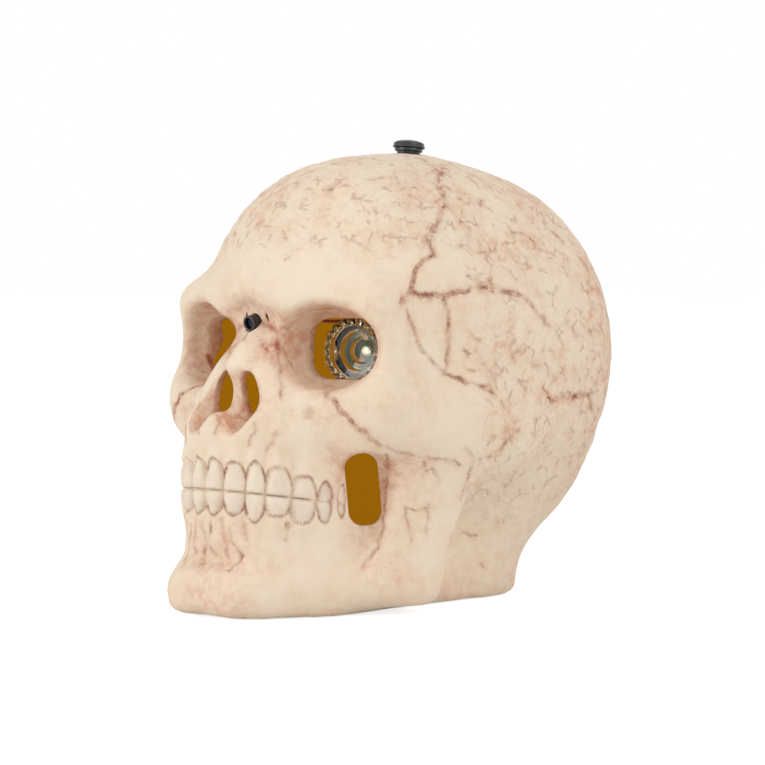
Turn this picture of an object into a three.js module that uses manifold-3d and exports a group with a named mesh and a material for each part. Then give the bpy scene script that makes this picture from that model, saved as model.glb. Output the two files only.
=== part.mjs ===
// Halloween skull decoration: a hollow moulded skull with a turning light lens behind its left
// eye, a push button on the crown, a sound sensor on the nose bridge and batteries in the base.
// Millimetres, +Z up. The face looks towards -Y and the skull's own left side is +X.
import * as THREE from 'three';
import { mergeVertices } from 'three/addons/utils/BufferGeometryUtils.js';
import Module from 'manifold-3d';

const wasm = await Module();
wasm.setup();

// Driving dimensions: fits
const GAP = 0.3;
const WALL = 3;

// Skull forms, sculpted as blended lumps of clay: place, size and blend of each lump.
// Forms off the midline are given for the left side and mirrored to the right.
const VAULT = { at: [0, -7, 96.7], radii: [70, 83.5, 81.5] };
const FOREHEAD = { at: [0, -40.7, 115], radii: [57, 45.2, 57.4], blend: 14 };
const OCCIPUT = { at: [0, 34.3, 97.8], radii: [65.5, 48, 69.5], blend: 16 };
const NAPE = { at: [0, 28.6, 60.8], radii: [47, 48.3, 46.8], blend: 16 };
const NECK = { at: [0, 8, 17], radii: [38, 37], half: 30, round: 16, blend: 16 };
const TEMPLE = { at: [80, -48, 103], radii: [15, 24, 30], blend: 16 };
const BROW = { from: [8, -84, 121], to: [46, -73, 118.3], radii: [9, 8], blend: 12 };
const MIDFACE = { at: [0, -70, 79], radii: [42, 30, 34], blend: 12 };
const ORBIT_SIDE = { from: [50, -70, 115], to: [51, -70, 87], radii: [6, 8], blend: 8 };
const CHEEKBONE = { at: [41, -75, 79], radii: [13, 12, 12], blend: 12 };
const CHEEK_ARCH = { from: [46, -64, 74], to: [53, -8, 69], radii: [14, 14], blend: 16 };
const NASION = { at: [0, -99.8, 108], radii: [17, 18, 11], blend: 8 };
const NOSE_BRIDGE = { from: [0, -82, 113], to: [0, -98.3, 93.5], radii: [5.5, 4.5], blend: 7 };
const NOSE_SIDE = { from: [9, -80, 106], to: [13.6, -94.6, 79], radii: [6, 6], blend: 8 };
const CHEEK_ROOT = { from: [42, -70, 75], to: [35, -72, 57], radii: [9, 7], blend: 8 };
const CHIN = { at: [0, -103.6, 8.5], half: [20, 16, 10.5], round: 9, blend: 10 };
const JAW_BODY = { from: [17, -99.6, 8], to: [42, -54, 13], radii: [13, 14], blend: 12 };
const JAW_RAMUS = { at: [46, -47, 37], half: [8, 17, 37], round: 7, pitch: -20, yaw: -14, blend: 10 };
const JAW_FILL = { at: [0, -45, 25], half: [36, 46, 40], round: 14, blend: 8 };
const CHEEK_HOLLOW = { at: [44, -73, 48], radii: [8, 8, 15], blend: 5 };
const SKULL_HEART = [0, -40, 84];
const SKULL_REACH = 200;
const OUTER_SPLIT_COUNT = 11;
const INNER_SPLIT_COUNT = 6;

// Sockets sunk into the face: a rounded bottom that flares towards the rim
const ORBIT = { at: [32.2, -82, 102], radii: [19.2, 15.5], depth: 20, mouth: 20, flare: 24, yaw: 14, lean: 0 };
const NOSTRIL = { at: [7.4, -106, 82.6], radii: [6.8, 12.4], depth: 10, mouth: 10, flare: 30, yaw: 0, lean: -14 };

// Tooth arch: an ellipse in the bite plane, which falls towards the back, with upright teeth
const BITE_CENTRE = [0, -73.4, 42.15];
const BITE_LEAN = 9;
const ARCH_HALF_WIDTH = 36;
const ARCH_DEPTH = 43.8;
const GUM_INSET = 2;
const UPPER_GUM = { rise: 16, half: 15, round: 8, blend: 10 };
const LOWER_GUM = { rise: -12, half: 14, round: 7, blend: 8 };
const TOOTH_WIDTHS = [8.6, 9.3, 7.9, 10.5, 10.7, 8.1, 6.2];
const TOOTH_RISE = 6.4;
const TOOTH_HALF_HEIGHT = 7.4;
const TOOTH_HALF_DEPTH = 4.2;
const LOWER_TOOTH_SCALE = 0.99;

// Openings through the wall
const EYE_HOLE = { at: [30.6, -71.7, 101.2], half: [16.2, 11.7], corner: 9, yaw: 14, front: 2, back: 24 };
const NOSE_HOLE = { at: [7.4, -100, 83.4], half: [4.8, 10], lean: -14, front: 10, back: 14 };
const CHEEK_SLOT = { at: [39, -69.6, 48], half: [6.3, 14], corner: 5.6, lean: -5, yaw: 43, front: 17, back: 17 };

// Base cover in the floor of the skull
const FLOOR = 6;
const COVER_Y = -25;
const COVER_HALF_LENGTH = 51;
const COVER_CORNER = 14;
const COVER_THICK = 2.8;
const LIP_WIDTH = 6.5;
const COVER_SCREW_SPACING = 68;
const COVER_BOSS_RADIUS = 3.6;
const COVER_BOSS_HEIGHT = 11;

// Batteries and their compartment
const BATTERY_RADIUS = 7.1;
const BATTERY_LENGTH = 50;
const BATTERY_PITCH = 14.8;
const BATTERY_COUNT = 3;
const COMPARTMENT_WALL = 1.5;
const COMPARTMENT_CLEARANCE = 0.8;
const COMPARTMENT_Y = -32;
const CONTACT_THICK = 0.6;
const CONTACT_HEIGHT = 11;
const DOOR_CLEARANCE = 0.4;
const DOOR_TAB_LENGTH = 8;
const DOOR_TAB_HALF_WIDTH = 6;
const DOOR_ROOF = 1.5;

// Small screws
const SCREW_HEAD_RADIUS = 2.5;
const SCREW_HEAD_HEIGHT = 1.3;
const SCREW_SHANK_RADIUS = 1.2;
const SCREW_LENGTH = 7;

// Control board
const BOARD_WIDTH = 36;
const BOARD_LENGTH = 20;
const BOARD_THICK = 1.6;
const BOARD_Y = 8;
const BOARD_POST_HEIGHT = 8;
const BOARD_POST_RADIUS = 2.6;
const BOARD_POST_INSET = 3.5;
const CHIP_SIZE = [9, 5, 1.6];
const CHIP_AT = [-5, -3];
const CONNECTOR_SIZE = [22, 5, 6];
const CONNECTOR_INSET = 4;
const CAPACITOR_RADIUS = 3;
const CAPACITOR_HEIGHT = 8;
const CAPACITOR_AT = [8, -4];

// Push button on the crown
const BUTTON_Y = -1.6;
const BUTTON_LEAN = 6;
const BUTTON_TRAVEL = 1.2;
const BUTTON_RADIUS = 6.5;
const BUTTON_SKIRT_WALL = 0.6;
const BUTTON_BRIM = 1.7;
const BUTTON_DOME = 1.5;
const BUTTON_STEM_RADIUS = 1.8;
const BUTTON_COLLAR = 1.3;
const SWITCH_FLANGE_RADIUS = 5.6;
const SWITCH_FLANGE_THICK = 1.5;
const SWITCH_BARREL_RADIUS = 4.6;
const SWITCH_BARREL_LENGTH = 13;
const SWITCH_GUIDE_DEPTH = 2.5;
const SWITCH_BORE_RADIUS = 3.6;
const SWITCH_PLUG_THICK = 2.7;
const NUT_RADIUS = 7.6;
const NUT_THICK = 2.5;
const CROWN_SEAT = 2.4;
const SPRING_WIRE_RADIUS = 0.35;
const SPRING_RADIUS = 2.6;
const SPRING_TURNS = 5;
const TERMINAL_SIZE = [0.8, 2.4, 4];
const TERMINAL_SPREAD = 2;

// Sound sensor on the nose bridge
const SENSOR_Z = 111;
const SENSOR_DROOP = 10;
const SENSOR_RADIUS = 3;
const SENSOR_BORE_RADIUS = 2.1;
const SENSOR_STANDOUT = 1.5;
const SENSOR_TAIL = 8;
const SENSOR_SEAT = 3.2;
const SENSOR_NUT_RADIUS = 5.4;
const SENSOR_NUT_THICK = 1.2;
const CAPSULE_LENGTH = 5;
const CAPSULE_RECESS = 1.6;

// Projector behind the left eye
const LENS_AT = [29, -64.5, 100];
const LENS_YAW = 14;
const LENS_RADIUS = 13.2;
const LENS_DEPTH = 9;
const LENS_BACK = 3;
const LENS_STEPS = [10.6, 7.4, 4.6];
const LENS_SKIRT_RADIUS = 12.4;
const LENS_TAPER = 3.4;
const BEAD_COUNT = 20;
const BEAD_RADIUS = 1.7;
const SPINDLE_RADIUS = 1.5;
const SPINDLE_LENGTH = 17;
const SPINDLE_SEAT = 2;
const LED_GAP = 3.6;
const LED_BOARD_RADIUS = 11;
const LED_BOARD_THICK = 1.4;
const LED_COUNT = 3;
const LED_RADIUS = 1.7;
const LED_HEIGHT = 2.6;
const LED_CIRCLE = 6.5;
const MOTOR_RADIUS = 9;
const MOTOR_LENGTH = 16;
const MOTOR_NECK_RADIUS = 4;
const MOTOR_NECK_LENGTH = 2.3;
const MOTOR_CAN_RADIUS = 6.5;
const MOTOR_CAN_LENGTH = 14;
const CLAMP_WALL = 2;
const CLAMP_LENGTH = 10;
const BRACKET_PLATE = [2.2, 12, 30];
const BRACKET_ARM = [8, 8];
const BRACKET_SEAT_X = 50;
const BRACKET_BOSS_RADIUS = 3.8;
const BRACKET_BOSS_SPACING = 20;

// Wires: radius, and the places each pair passes on its way to the board
const WIRE_RADIUS = 0.6;
const SWITCH_RED_ROUTE = [[5, 6, 140], [9, 16, 90]];
const SWITCH_BLACK_ROUTE = [[-3, 8, 140], [2, 20, 90]];
const SENSOR_RED_ROUTE = [
  [3, -75.5, 113], [8, -71, 113.5], [15, -65, 111.5], [21, -59, 112],
  [24, -47, 117], [22, -20, 116], [15, 10, 70],
];
const SENSOR_BLACK_ROUTE = [
  [1.5, -75, 114.5], [7, -69, 115.5], [14, -62.5, 113.5], [19, -56.5, 114],
  [21, -44, 120], [17, -18, 119], [11, 6, 80],
];
const MOTOR_RED_ROUTE = [[6, 2, 84], [-5, 12, 55]];
const MOTOR_BLACK_ROUTE = [[2, -2, 80], [-8, 8, 52]];
const BATTERY_RED_ROUTE = [[-14, 6, 26], [-11, 12, 36]];
const SENSOR_LEAD_SPREAD = 0.8;
const MOTOR_LEAD_SPREAD = 3;
const WIRE_SIDE_COUNT = 6;
const WIRE_STEP_COUNT = 18;

// Finishes
const finish = (color, roughness, metalness = 0) =>
  new THREE.MeshStandardMaterial({ color, roughness, metalness });
const BONE = finish(0xf0dfc6, 0.55);
const BLACK_PLASTIC = finish(0x211e22, 0.35);
const GREY_PLASTIC = finish(0x4a4745, 0.5);
const CLEAR_PLASTIC = finish(0xe9e6da, 0.08);
const STEEL = finish(0xb9bcc0, 0.3, 1);
const BRASS = finish(0xc8a24a, 0.3, 1);
const BOARD_GREEN = finish(0x2d5a3a, 0.45);
const LED_AMBER = finish(0xf2c869, 0.15);
const CELL_JACKET = finish(0x3c4a55, 0.35);
const WIRE_RED = finish(0x7d1f1a, 0.45);
const WIRE_BLACK = finish(0x1c1a1a, 0.45);

// Closed meshes to solids and back
const bare = (geometry) => {
  const mesh = geometry.clone();
  mesh.deleteAttribute('normal');
  mesh.deleteAttribute('uv');
  return mergeVertices(mesh, 1e-4);
};

const solid = (geometry) => {
  const mesh = bare(geometry);
  const vertProperties = new Float32Array(mesh.attributes.position.array);
  const triVerts = new Uint32Array(mesh.index.array);
  return new wasm.Manifold(new wasm.Mesh({ numProp: 3, vertProperties, triVerts }));
};

const meshOf = (body) => {
  const mesh = body.getMesh();
  const geometry = new THREE.BufferGeometry();
  geometry.setAttribute('position', new THREE.BufferAttribute(mesh.vertProperties, 3));
  geometry.setIndex(new THREE.BufferAttribute(mesh.triVerts, 1));
  return geometry;
};

const joined = (bodies) => bodies.reduce((sum, body) => sum.add(body));

// Simple turned, round and square pieces, all standing along Z
const turned = (profile, segments = 24) => {
  const points = profile.map(([radius, height]) => new THREE.Vector2(radius, height));
  return new THREE.LatheGeometry(points, segments).rotateX(Math.PI / 2);
};

const rod = (radius, low, high, segments = 20) =>
  new THREE.CylinderGeometry(radius, radius, high - low, segments)
    .rotateX(Math.PI / 2)
    .translate(0, 0, (low + high) / 2);

const ring = (outer, inner, low, high, segments = 24) =>
  turned([[inner, low], [outer, low], [outer, high], [inner, high], [inner, low]], segments);

const box = (low, high) => {
  const size = high.map((value, axis) => value - low[axis]);
  const centre = high.map((value, axis) => (value + low[axis]) / 2);
  return new THREE.BoxGeometry(...size).translate(...centre);
};

const roundedPlate = (halfWidth, halfLength, corner, low, high) => {
  const shape = new THREE.Shape();
  const [w, l] = [halfWidth - corner, halfLength - corner];
  shape.absarc(w, l, corner, 0, Math.PI / 2);
  shape.absarc(-w, l, corner, Math.PI / 2, Math.PI);
  shape.absarc(-w, -l, corner, Math.PI, Math.PI * 1.5);
  shape.absarc(w, -l, corner, Math.PI * 1.5, Math.PI * 2);
  const settings = { depth: high - low, bevelEnabled: false, curveSegments: 6 };
  return new THREE.ExtrudeGeometry(shape, settings).translate(0, 0, low);
};

const tube = (curve, radius, sides, steps) => {
  const shape = new THREE.Shape();
  for (let side = 0; side < sides; side += 1) {
    const turn = (side / sides) * Math.PI * 2;
    const corner = [radius * Math.cos(turn), radius * Math.sin(turn)];
    if (side === 0) shape.moveTo(...corner);
    else shape.lineTo(...corner);
  }
  return new THREE.ExtrudeGeometry(shape, { steps, extrudePath: curve });
};

// The clay field: negative inside, blended with smooth joins
const radians = (degrees) => (degrees * Math.PI) / 180;

const join = (a, b, blend) => {
  const h = Math.min(Math.max(0.5 + (0.5 * (b - a)) / blend, 0), 1);
  return b + (a - b) * h - blend * h * (1 - h);
};

const carve = (a, b, blend) => -join(-a, b, blend);

const localPoint = ([x, y, z], at, { yaw = 0, pitch = 0, slant = 0 }) => {
  const [dx, dy, dz] = [x - at[0], y - at[1], z - at[2]];
  const [cy, sy] = [Math.cos(radians(yaw)), Math.sin(radians(yaw))];
  const [cp, sp] = [Math.cos(radians(pitch)), Math.sin(radians(pitch))];
  const [tx, ty] = [cy * dx + sy * dy, -sy * dx + cy * dy];
  const [py, pz] = [cp * ty + sp * dz, -sp * ty + cp * dz];
  return [tx, py / Math.cos(radians(slant)), pz + py * Math.tan(radians(slant))];
};

const roundDistance = (lengths, radii) => {
  const k0 = Math.hypot(...lengths.map((length, axis) => length / radii[axis]));
  const k1 = Math.hypot(...lengths.map((length, axis) => length / radii[axis] ** 2));
  return (k0 * (k0 - 1)) / Math.max(k1, 1e-6);
};

const lump = (p, form) => roundDistance(localPoint(p, form.at, form), form.radii);

const bone = (p, { from, to, radii }) => {
  const ab = to.map((value, axis) => value - from[axis]);
  const ap = p.map((value, axis) => value - from[axis]);
  const along = ab.reduce((sum, value, axis) => sum + value * ap[axis], 0);
  const t = Math.min(Math.max(along / ab.reduce((sum, value) => sum + value ** 2, 0), 0), 1);
  const away = Math.hypot(...ap.map((value, axis) => value - t * ab[axis]));
  return away - (radii[0] + (radii[1] - radii[0]) * t);
};

const block = (p, form) => {
  const q = localPoint(p, form.at, form).map((v, axis) => Math.abs(v) - form.half[axis] + form.round);
  const outside = Math.hypot(...q.map((value) => Math.max(value, 0)));
  return outside + Math.min(Math.max(...q), 0) - form.round;
};

const column = (p, form) => {
  const [x, y, z] = localPoint(p, form.at, form);
  const a = roundDistance([x, y], form.radii) + form.round;
  const b = Math.abs(z) - form.half + form.round;
  return Math.min(Math.max(a, b), 0) + Math.hypot(Math.max(a, 0), Math.max(b, 0)) - form.round;
};

// Places on the arch and the gums that carry the teeth
const archPoint = (turn, rise, inset = 0) => {
  const [x, y, z] = BITE_CENTRE;
  const side = (ARCH_HALF_WIDTH - inset) * Math.sin(turn);
  const front = (ARCH_DEPTH - inset) * Math.cos(turn);
  const fall = radians(BITE_LEAN);
  return [x + side, y - front * Math.cos(fall), z + front * Math.sin(fall) + rise];
};

const gum = (form) => ({
  ...form,
  at: [BITE_CENTRE[0], BITE_CENTRE[1], BITE_CENTRE[2] + form.rise],
  radii: [ARCH_HALF_WIDTH - GUM_INSET, ARCH_DEPTH - GUM_INSET],
  slant: BITE_LEAN,
});
const UPPER_JAW = gum(UPPER_GUM);
const LOWER_JAW = gum(LOWER_GUM);

const skullField = ([x, y, z]) => {
  const p = [x, y, z];
  const m = [Math.hypot(x, 0.5), y, z];
  let d = lump(p, VAULT);
  d = join(d, lump(p, FOREHEAD), FOREHEAD.blend);
  d = join(d, lump(p, OCCIPUT), OCCIPUT.blend);
  d = join(d, lump(p, NAPE), NAPE.blend);
  d = join(d, column(p, NECK), NECK.blend);
  d = carve(d, lump(m, TEMPLE), TEMPLE.blend);
  d = join(d, bone(m, BROW), BROW.blend);
  d = join(d, lump(p, MIDFACE), MIDFACE.blend);
  d = join(d, bone(m, ORBIT_SIDE), ORBIT_SIDE.blend);
  d = join(d, lump(m, CHEEKBONE), CHEEKBONE.blend);
  d = join(d, bone(m, CHEEK_ARCH), CHEEK_ARCH.blend);
  d = carve(d, lump(p, NASION), NASION.blend);
  d = join(d, bone(p, NOSE_BRIDGE), NOSE_BRIDGE.blend);
  d = join(d, bone(m, NOSE_SIDE), NOSE_SIDE.blend);
  d = join(d, column(p, UPPER_JAW), UPPER_JAW.blend);
  d = join(d, bone(m, CHEEK_ROOT), CHEEK_ROOT.blend);
  d = join(d, column(p, LOWER_JAW), LOWER_JAW.blend);
  d = join(d, block(p, CHIN), CHIN.blend);
  d = join(d, bone(m, JAW_BODY), JAW_BODY.blend);
  d = join(d, block(m, JAW_RAMUS), JAW_RAMUS.blend);
  d = join(d, block(p, JAW_FILL), JAW_FILL.blend);
  return carve(d, lump(m, CHEEK_HOLLOW), CHEEK_HOLLOW.blend);
};

// Distance from a start point along a direction at which the field first reaches a level,
// looking inwards from far outside
const reach = (start, direction, level) => {
  const at = (r) => skullField(start.map((value, axis) => value + direction[axis] * r)) - level;
  const stride = 3;
  let far = SKULL_REACH;
  while (far > 0 && at(far) > 0) far -= stride;
  let near = far;
  far += stride;
  for (let step = 0; step < 16; step += 1) {
    const middle = (near + far) / 2;
    if (at(middle) > 0) far = middle;
    else near = middle;
  }
  return near;
};

// An icosphere drawn on to the field's surface from the heart of the skull
const wrapped = (detail, level) => {
  const geometry = bare(new THREE.IcosahedronGeometry(1, detail));
  const position = geometry.attributes.position;
  for (let i = 0; i < position.count; i += 1) {
    const direction = [position.getX(i), position.getY(i), position.getZ(i)];
    const r = reach(SKULL_HEART, direction, level);
    position.setXYZ(i, ...SKULL_HEART.map((value, axis) => value + direction[axis] * r));
  }
  return geometry;
};

// A frame on the skull whose Z axis points out of the wall
const frameAt = (point, axis) => {
  const frame = new THREE.Group();
  frame.position.set(...point);
  frame.quaternion.setFromUnitVectors(new THREE.Vector3(0, 0, 1), new THREE.Vector3(...axis).normalize());
  frame.updateMatrixWorld();
  return frame;
};

const inFrame = (geometry, frame) => geometry.applyMatrix4(frame.matrixWorld);

const crownPoint = [0, BUTTON_Y, reach([0, BUTTON_Y, 0], [0, 0, 1], 0)];
const lean = radians(BUTTON_LEAN);
const buttonFrame = frameAt(crownPoint, [0, Math.sin(lean), Math.cos(lean)]);

const droop = radians(SENSOR_DROOP);
const sensorPoint = [0, -reach([0, 0, SENSOR_Z], [0, -1, 0], 0), SENSOR_Z];
const sensorFrame = frameAt(sensorPoint, [0, -Math.cos(droop), -Math.sin(droop)]);

const lensAxis = [Math.sin(radians(LENS_YAW)), -Math.cos(radians(LENS_YAW)), 0];
const projectorFrame = frameAt(LENS_AT, lensAxis);
const onLensAxis = (s) => LENS_AT.map((value, axis) => value + lensAxis[axis] * s);

const object = new THREE.Group();
object.add(buttonFrame, sensorFrame, projectorFrame);

const addPart = (name, geometry, material, frame = object) => {
  const mesh = new THREE.Mesh(geometry, material);
  mesh.name = name;
  frame.add(mesh);
};

// Screws: head under the seat, shank into the boss, along +Z from the head's seat at z = 0
const screw = () => turned([
  [0, -SCREW_HEAD_HEIGHT],
  [SCREW_HEAD_RADIUS, -SCREW_HEAD_HEIGHT],
  [SCREW_HEAD_RADIUS, 0],
  [SCREW_SHANK_RADIUS, 0],
  [SCREW_SHANK_RADIUS, SCREW_LENGTH],
  [0, SCREW_LENGTH],
], 12);
const pilot = () => rod(SCREW_SHANK_RADIUS + GAP, -GAP, SCREW_LENGTH + GAP, 12);

// Base cover layout
const coverBottom = GAP;
const coverTop = coverBottom + COVER_THICK;
const rebateTop = coverTop + GAP;
const compartmentHalfWidth = (BATTERY_PITCH * (BATTERY_COUNT - 1)) / 2 + BATTERY_RADIUS + GAP;
const lipHalfWidth = compartmentHalfWidth + COMPARTMENT_WALL + COMPARTMENT_CLEARANCE;
const lipHalfLength = COVER_HALF_LENGTH - LIP_WIDTH;
const coverHalfWidth = lipHalfWidth + LIP_WIDTH;
const coverScrewX = coverHalfWidth - LIP_WIDTH / 2;
const coverScrews = [[1, 1], [1, -1], [-1, 1], [-1, -1]].map(([side, end]) =>
  [side * coverScrewX, COVER_Y + (end * COVER_SCREW_SPACING) / 2]);
const coverScrewSeat = coverBottom + GAP + SCREW_HEAD_HEIGHT;

// Battery compartment, moulded on the cover and open below for the door
const compartmentHalfLength = BATTERY_LENGTH / 2 + CONTACT_THICK + 2 * GAP;
const batteryZ = coverTop + GAP + 1 + BATTERY_RADIUS;
const compartmentTop = batteryZ + BATTERY_RADIUS + GAP;

// Tooth places along the arch, by arc length from the midline
const archLength = (from, to, pieces = 40) => {
  let length = 0;
  for (let i = 0; i < pieces; i += 1) {
    const a = archPoint(from + ((to - from) * i) / pieces, 0);
    const b = archPoint(from + ((to - from) * (i + 1)) / pieces, 0);
    length += Math.hypot(...a.map((value, axis) => value - b[axis]));
  }
  return length;
};

const archTurn = (length) => {
  let [low, high] = [0, Math.PI];
  for (let step = 0; step < 24; step += 1) {
    const middle = (low + high) / 2;
    if (archLength(0, middle) < length) low = middle;
    else high = middle;
  }
  return low;
};

const toothBodies = () => {
  const bodies = [];
  for (const [row, scale] of [[1, 1], [-1, LOWER_TOOTH_SCALE]]) {
    let start = 0;
    for (const width of TOOTH_WIDTHS.map((value) => value * scale)) {
      const turn = archTurn(start + width / 2);
      start += width;
      const yaw = Math.atan2(ARCH_DEPTH * Math.sin(turn), ARCH_HALF_WIDTH * Math.cos(turn));
      const at = archPoint(turn, row * TOOTH_RISE, TOOTH_HALF_DEPTH);
      for (const side of [1, -1]) {
        const tooth = new THREE.SphereGeometry(1, 8, 5)
          .rotateX(Math.PI / 2)
          .scale(width / 2 + GAP, TOOTH_HALF_DEPTH, TOOTH_HALF_HEIGHT)
          .rotateZ(side * yaw)
          .translate(side * at[0], at[1], at[2]);
        bodies.push(solid(tooth));
      }
    }
  }
  return bodies;
};

// A socket's cutter, grown by a margin for the wall behind it
const socket = ({ at, radii, depth, mouth, flare, yaw, lean }, side, margin = 0) => {
  const profile = [];
  const deepSteps = 4;
  const mouthSteps = 2;
  for (let i = 0; i <= deepSteps; i += 1) {
    const turn = (i / deepSteps) * (Math.PI / 2);
    profile.push([Math.sin(turn), -(depth + margin) * Math.cos(turn)]);
  }
  for (let i = 1; i <= mouthSteps; i += 1) {
    const out = (mouth * i) / mouthSteps;
    profile.push([1 + (out / flare) ** 2, out]);
  }
  profile.push([0, mouth]);
  return solid(turned(profile, 16)
    .scale(radii[0] + margin, radii[1] + margin, 1)
    .rotateX(Math.PI / 2)
    .rotateY(radians(lean * side))
    .rotateZ(radians(yaw * side))
    .translate(side * at[0], at[1], at[2]));
};

// Cutters for the eye holes, the nostrils and the cheek slots
const hole = ({ at, half, yaw = 0, lean = 0, front, back, corner }, side) => {
  const shape = new THREE.Shape();
  const [w, h] = half;
  if (corner) {
    shape.absarc(w - corner, h - corner, corner, 0, Math.PI / 2);
    shape.absarc(corner - w, h - corner, corner, Math.PI / 2, Math.PI);
    shape.absarc(corner - w, corner - h, corner, Math.PI, Math.PI * 1.5);
    shape.absarc(w - corner, corner - h, corner, Math.PI * 1.5, Math.PI * 2);
  } else {
    shape.absellipse(0, 0, w, h, 0, Math.PI * 2);
  }
  const settings = { depth: front + back, bevelEnabled: false, curveSegments: corner ? 4 : 10 };
  return solid(new THREE.ExtrudeGeometry(shape, settings)
    .translate(0, 0, -back)
    .rotateX(Math.PI / 2)
    .rotateY(radians(lean * side))
    .rotateZ(radians(yaw * side))
    .translate(side * at[0], at[1], at[2]));
};

// Projector layout along the lens axis, counted back from the lens rim
const lensBackAt = -LENS_DEPTH - LENS_BACK;
const ledBoardFront = lensBackAt - LED_GAP;
const ledBoardBack = ledBoardFront - LED_BOARD_THICK;
const motorNeckFront = ledBoardBack - GAP;
const motorFront = motorNeckFront - MOTOR_NECK_LENGTH;
const motorBack = motorFront - MOTOR_LENGTH;
const motorEnd = motorBack - MOTOR_CAN_LENGTH;
const clampMiddle = onLensAxis((motorFront + motorBack) / 2);
const bracketScrews = [1, -1].map((end) =>
  [clampMiddle[1], clampMiddle[2] + (end * BRACKET_BOSS_SPACING) / 2]);
const bracketScrewSeat = BRACKET_SEAT_X - 2 * GAP - BRACKET_PLATE[0];

const alongX = (geometry, x, y, z) => geometry.rotateY(Math.PI / 2).translate(x, y, z);

const skullShell = () => {
  const big = SKULL_REACH * 2;
  const below = solid(box([-big, -big, -big], [big, big, 0]));
  const belowFloor = solid(box([-big, -big, -big], [big, big, FLOOR]));
  const outer = joined([solid(wrapped(OUTER_SPLIT_COUNT, 0)), ...toothBodies()]).subtract(below);
  let cavity = solid(wrapped(INNER_SPLIT_COUNT, -WALL)).subtract(belowFloor);
  for (const side of [1, -1]) {
    cavity = cavity.subtract(socket(ORBIT, side, WALL)).subtract(socket(NOSTRIL, side, WALL));
  }
  const bosses = coverScrews.map(([x, y]) =>
    solid(rod(COVER_BOSS_RADIUS, FLOOR / 2, COVER_BOSS_HEIGHT, 16).translate(x, y, 0)));
  const sideBosses = bracketScrews.map(([y, z]) =>
    solid(alongX(rod(BRACKET_BOSS_RADIUS, 0, SKULL_REACH, 16), BRACKET_SEAT_X, y, z)));
  let shell = outer.subtract(cavity);
  shell = joined([shell, ...bosses, ...sideBosses.map((boss) => boss.intersect(outer))]);
  const coverOpening = (halfWidth, halfLength, corner, low, high) =>
    solid(roundedPlate(halfWidth, halfLength, corner, low, high).translate(0, COVER_Y, 0));
  const cuts = [
    coverOpening(coverHalfWidth + GAP, COVER_HALF_LENGTH + GAP, COVER_CORNER + GAP, -1, rebateTop),
    coverOpening(lipHalfWidth, lipHalfLength, COVER_CORNER - LIP_WIDTH, -1, FLOOR + 1),
    ...coverScrews.map(([x, y]) => solid(pilot().translate(x, y, coverScrewSeat))),
    ...bracketScrews.map(([y, z]) => solid(alongX(pilot(), bracketScrewSeat, y, z))),
    solid(inFrame(rod(SWITCH_BARREL_RADIUS + GAP, -20, 10), buttonFrame)),
    solid(inFrame(rod(NUT_RADIUS + 1, -20, -CROWN_SEAT), buttonFrame)),
    solid(inFrame(rod(SENSOR_RADIUS + GAP, -20, 10), sensorFrame)),
    solid(inFrame(rod(SENSOR_NUT_RADIUS + 1, -14, -SENSOR_SEAT), sensorFrame)),
  ];
  for (const side of [1, -1]) {
    cuts.push(socket(ORBIT, side), socket(NOSTRIL, side));
    cuts.push(hole(EYE_HOLE, side), hole(NOSE_HOLE, side), hole(CHEEK_SLOT, side));
  }
  return cuts.reduce((body, cut) => body.subtract(cut), shell);
};

addPart('skull_shell', meshOf(skullShell()), BONE);

// Base cover: a plate with the battery compartment and the board posts moulded on
const boardBottom = coverTop + BOARD_POST_HEIGHT + GAP;
const boardTop = boardBottom + BOARD_THICK;
const boardPosts = [[1, 1], [-1, -1], [1, -1], [-1, 1]].map(([side, end]) => [
  side * (BOARD_WIDTH / 2 - BOARD_POST_INSET),
  BOARD_Y + end * (BOARD_LENGTH / 2 - BOARD_POST_INSET),
]);
const boardScrews = boardPosts.slice(0, 2);
const boardScrewSeat = boardTop + GAP;
const tabEnd = COMPARTMENT_Y - compartmentHalfLength - COMPARTMENT_WALL - DOOR_TAB_LENGTH;
const doorScrewAt = [0, tabEnd + DOOR_TAB_LENGTH / 2];
const doorScrewSeat = coverScrewSeat;

const compartmentBox = (grow, low, high) => box(
  [-compartmentHalfWidth - grow, COMPARTMENT_Y - compartmentHalfLength - grow, low],
  [compartmentHalfWidth + grow, COMPARTMENT_Y + compartmentHalfLength + grow, high],
);

const tabBox = (grow, low, high) => box(
  [-DOOR_TAB_HALF_WIDTH - grow, tabEnd - grow, low],
  [DOOR_TAB_HALF_WIDTH + grow, COMPARTMENT_Y - compartmentHalfLength + DOOR_TAB_LENGTH / 2, high],
);

const turnedOver = (geometry) => geometry.rotateX(Math.PI);
const without = (body, cuts) => cuts.reduce((rest, cut) => rest.subtract(cut), body);
const counterbore = (x, y, seat) =>
  solid(rod(SCREW_HEAD_RADIUS + GAP, coverBottom - 1, seat + GAP, 16).translate(x, y, 0));

// Contact plates: one cell on one side and a bridge over two cells on the other, at both ends
const cellX = (index) => (index - (BATTERY_COUNT - 1) / 2) * BATTERY_PITCH;
const contactOffset = BATTERY_LENGTH / 2 + GAP + CONTACT_THICK / 2;
const contactHalf = BATTERY_PITCH / 2 - GAP;
const contactTop = batteryZ + CONTACT_HEIGHT / 2;
const contacts = [
  ['contact_rear_single', 0, 0, 1],
  ['contact_rear_bridge', 1, 2, 1],
  ['contact_front_bridge', 0, 1, -1],
  ['contact_front_single', 2, 2, -1],
];
const leadZ = contactTop - 2 * WIRE_RADIUS;
const leadHole = (index, end) => solid(rod(WIRE_RADIUS + GAP, -COMPARTMENT_WALL * 2, COMPARTMENT_WALL * 2, 8)
  .rotateX(Math.PI / 2)
  .translate(cellX(index), COMPARTMENT_Y + end * (compartmentHalfLength + COMPARTMENT_WALL / 2), leadZ));

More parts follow.
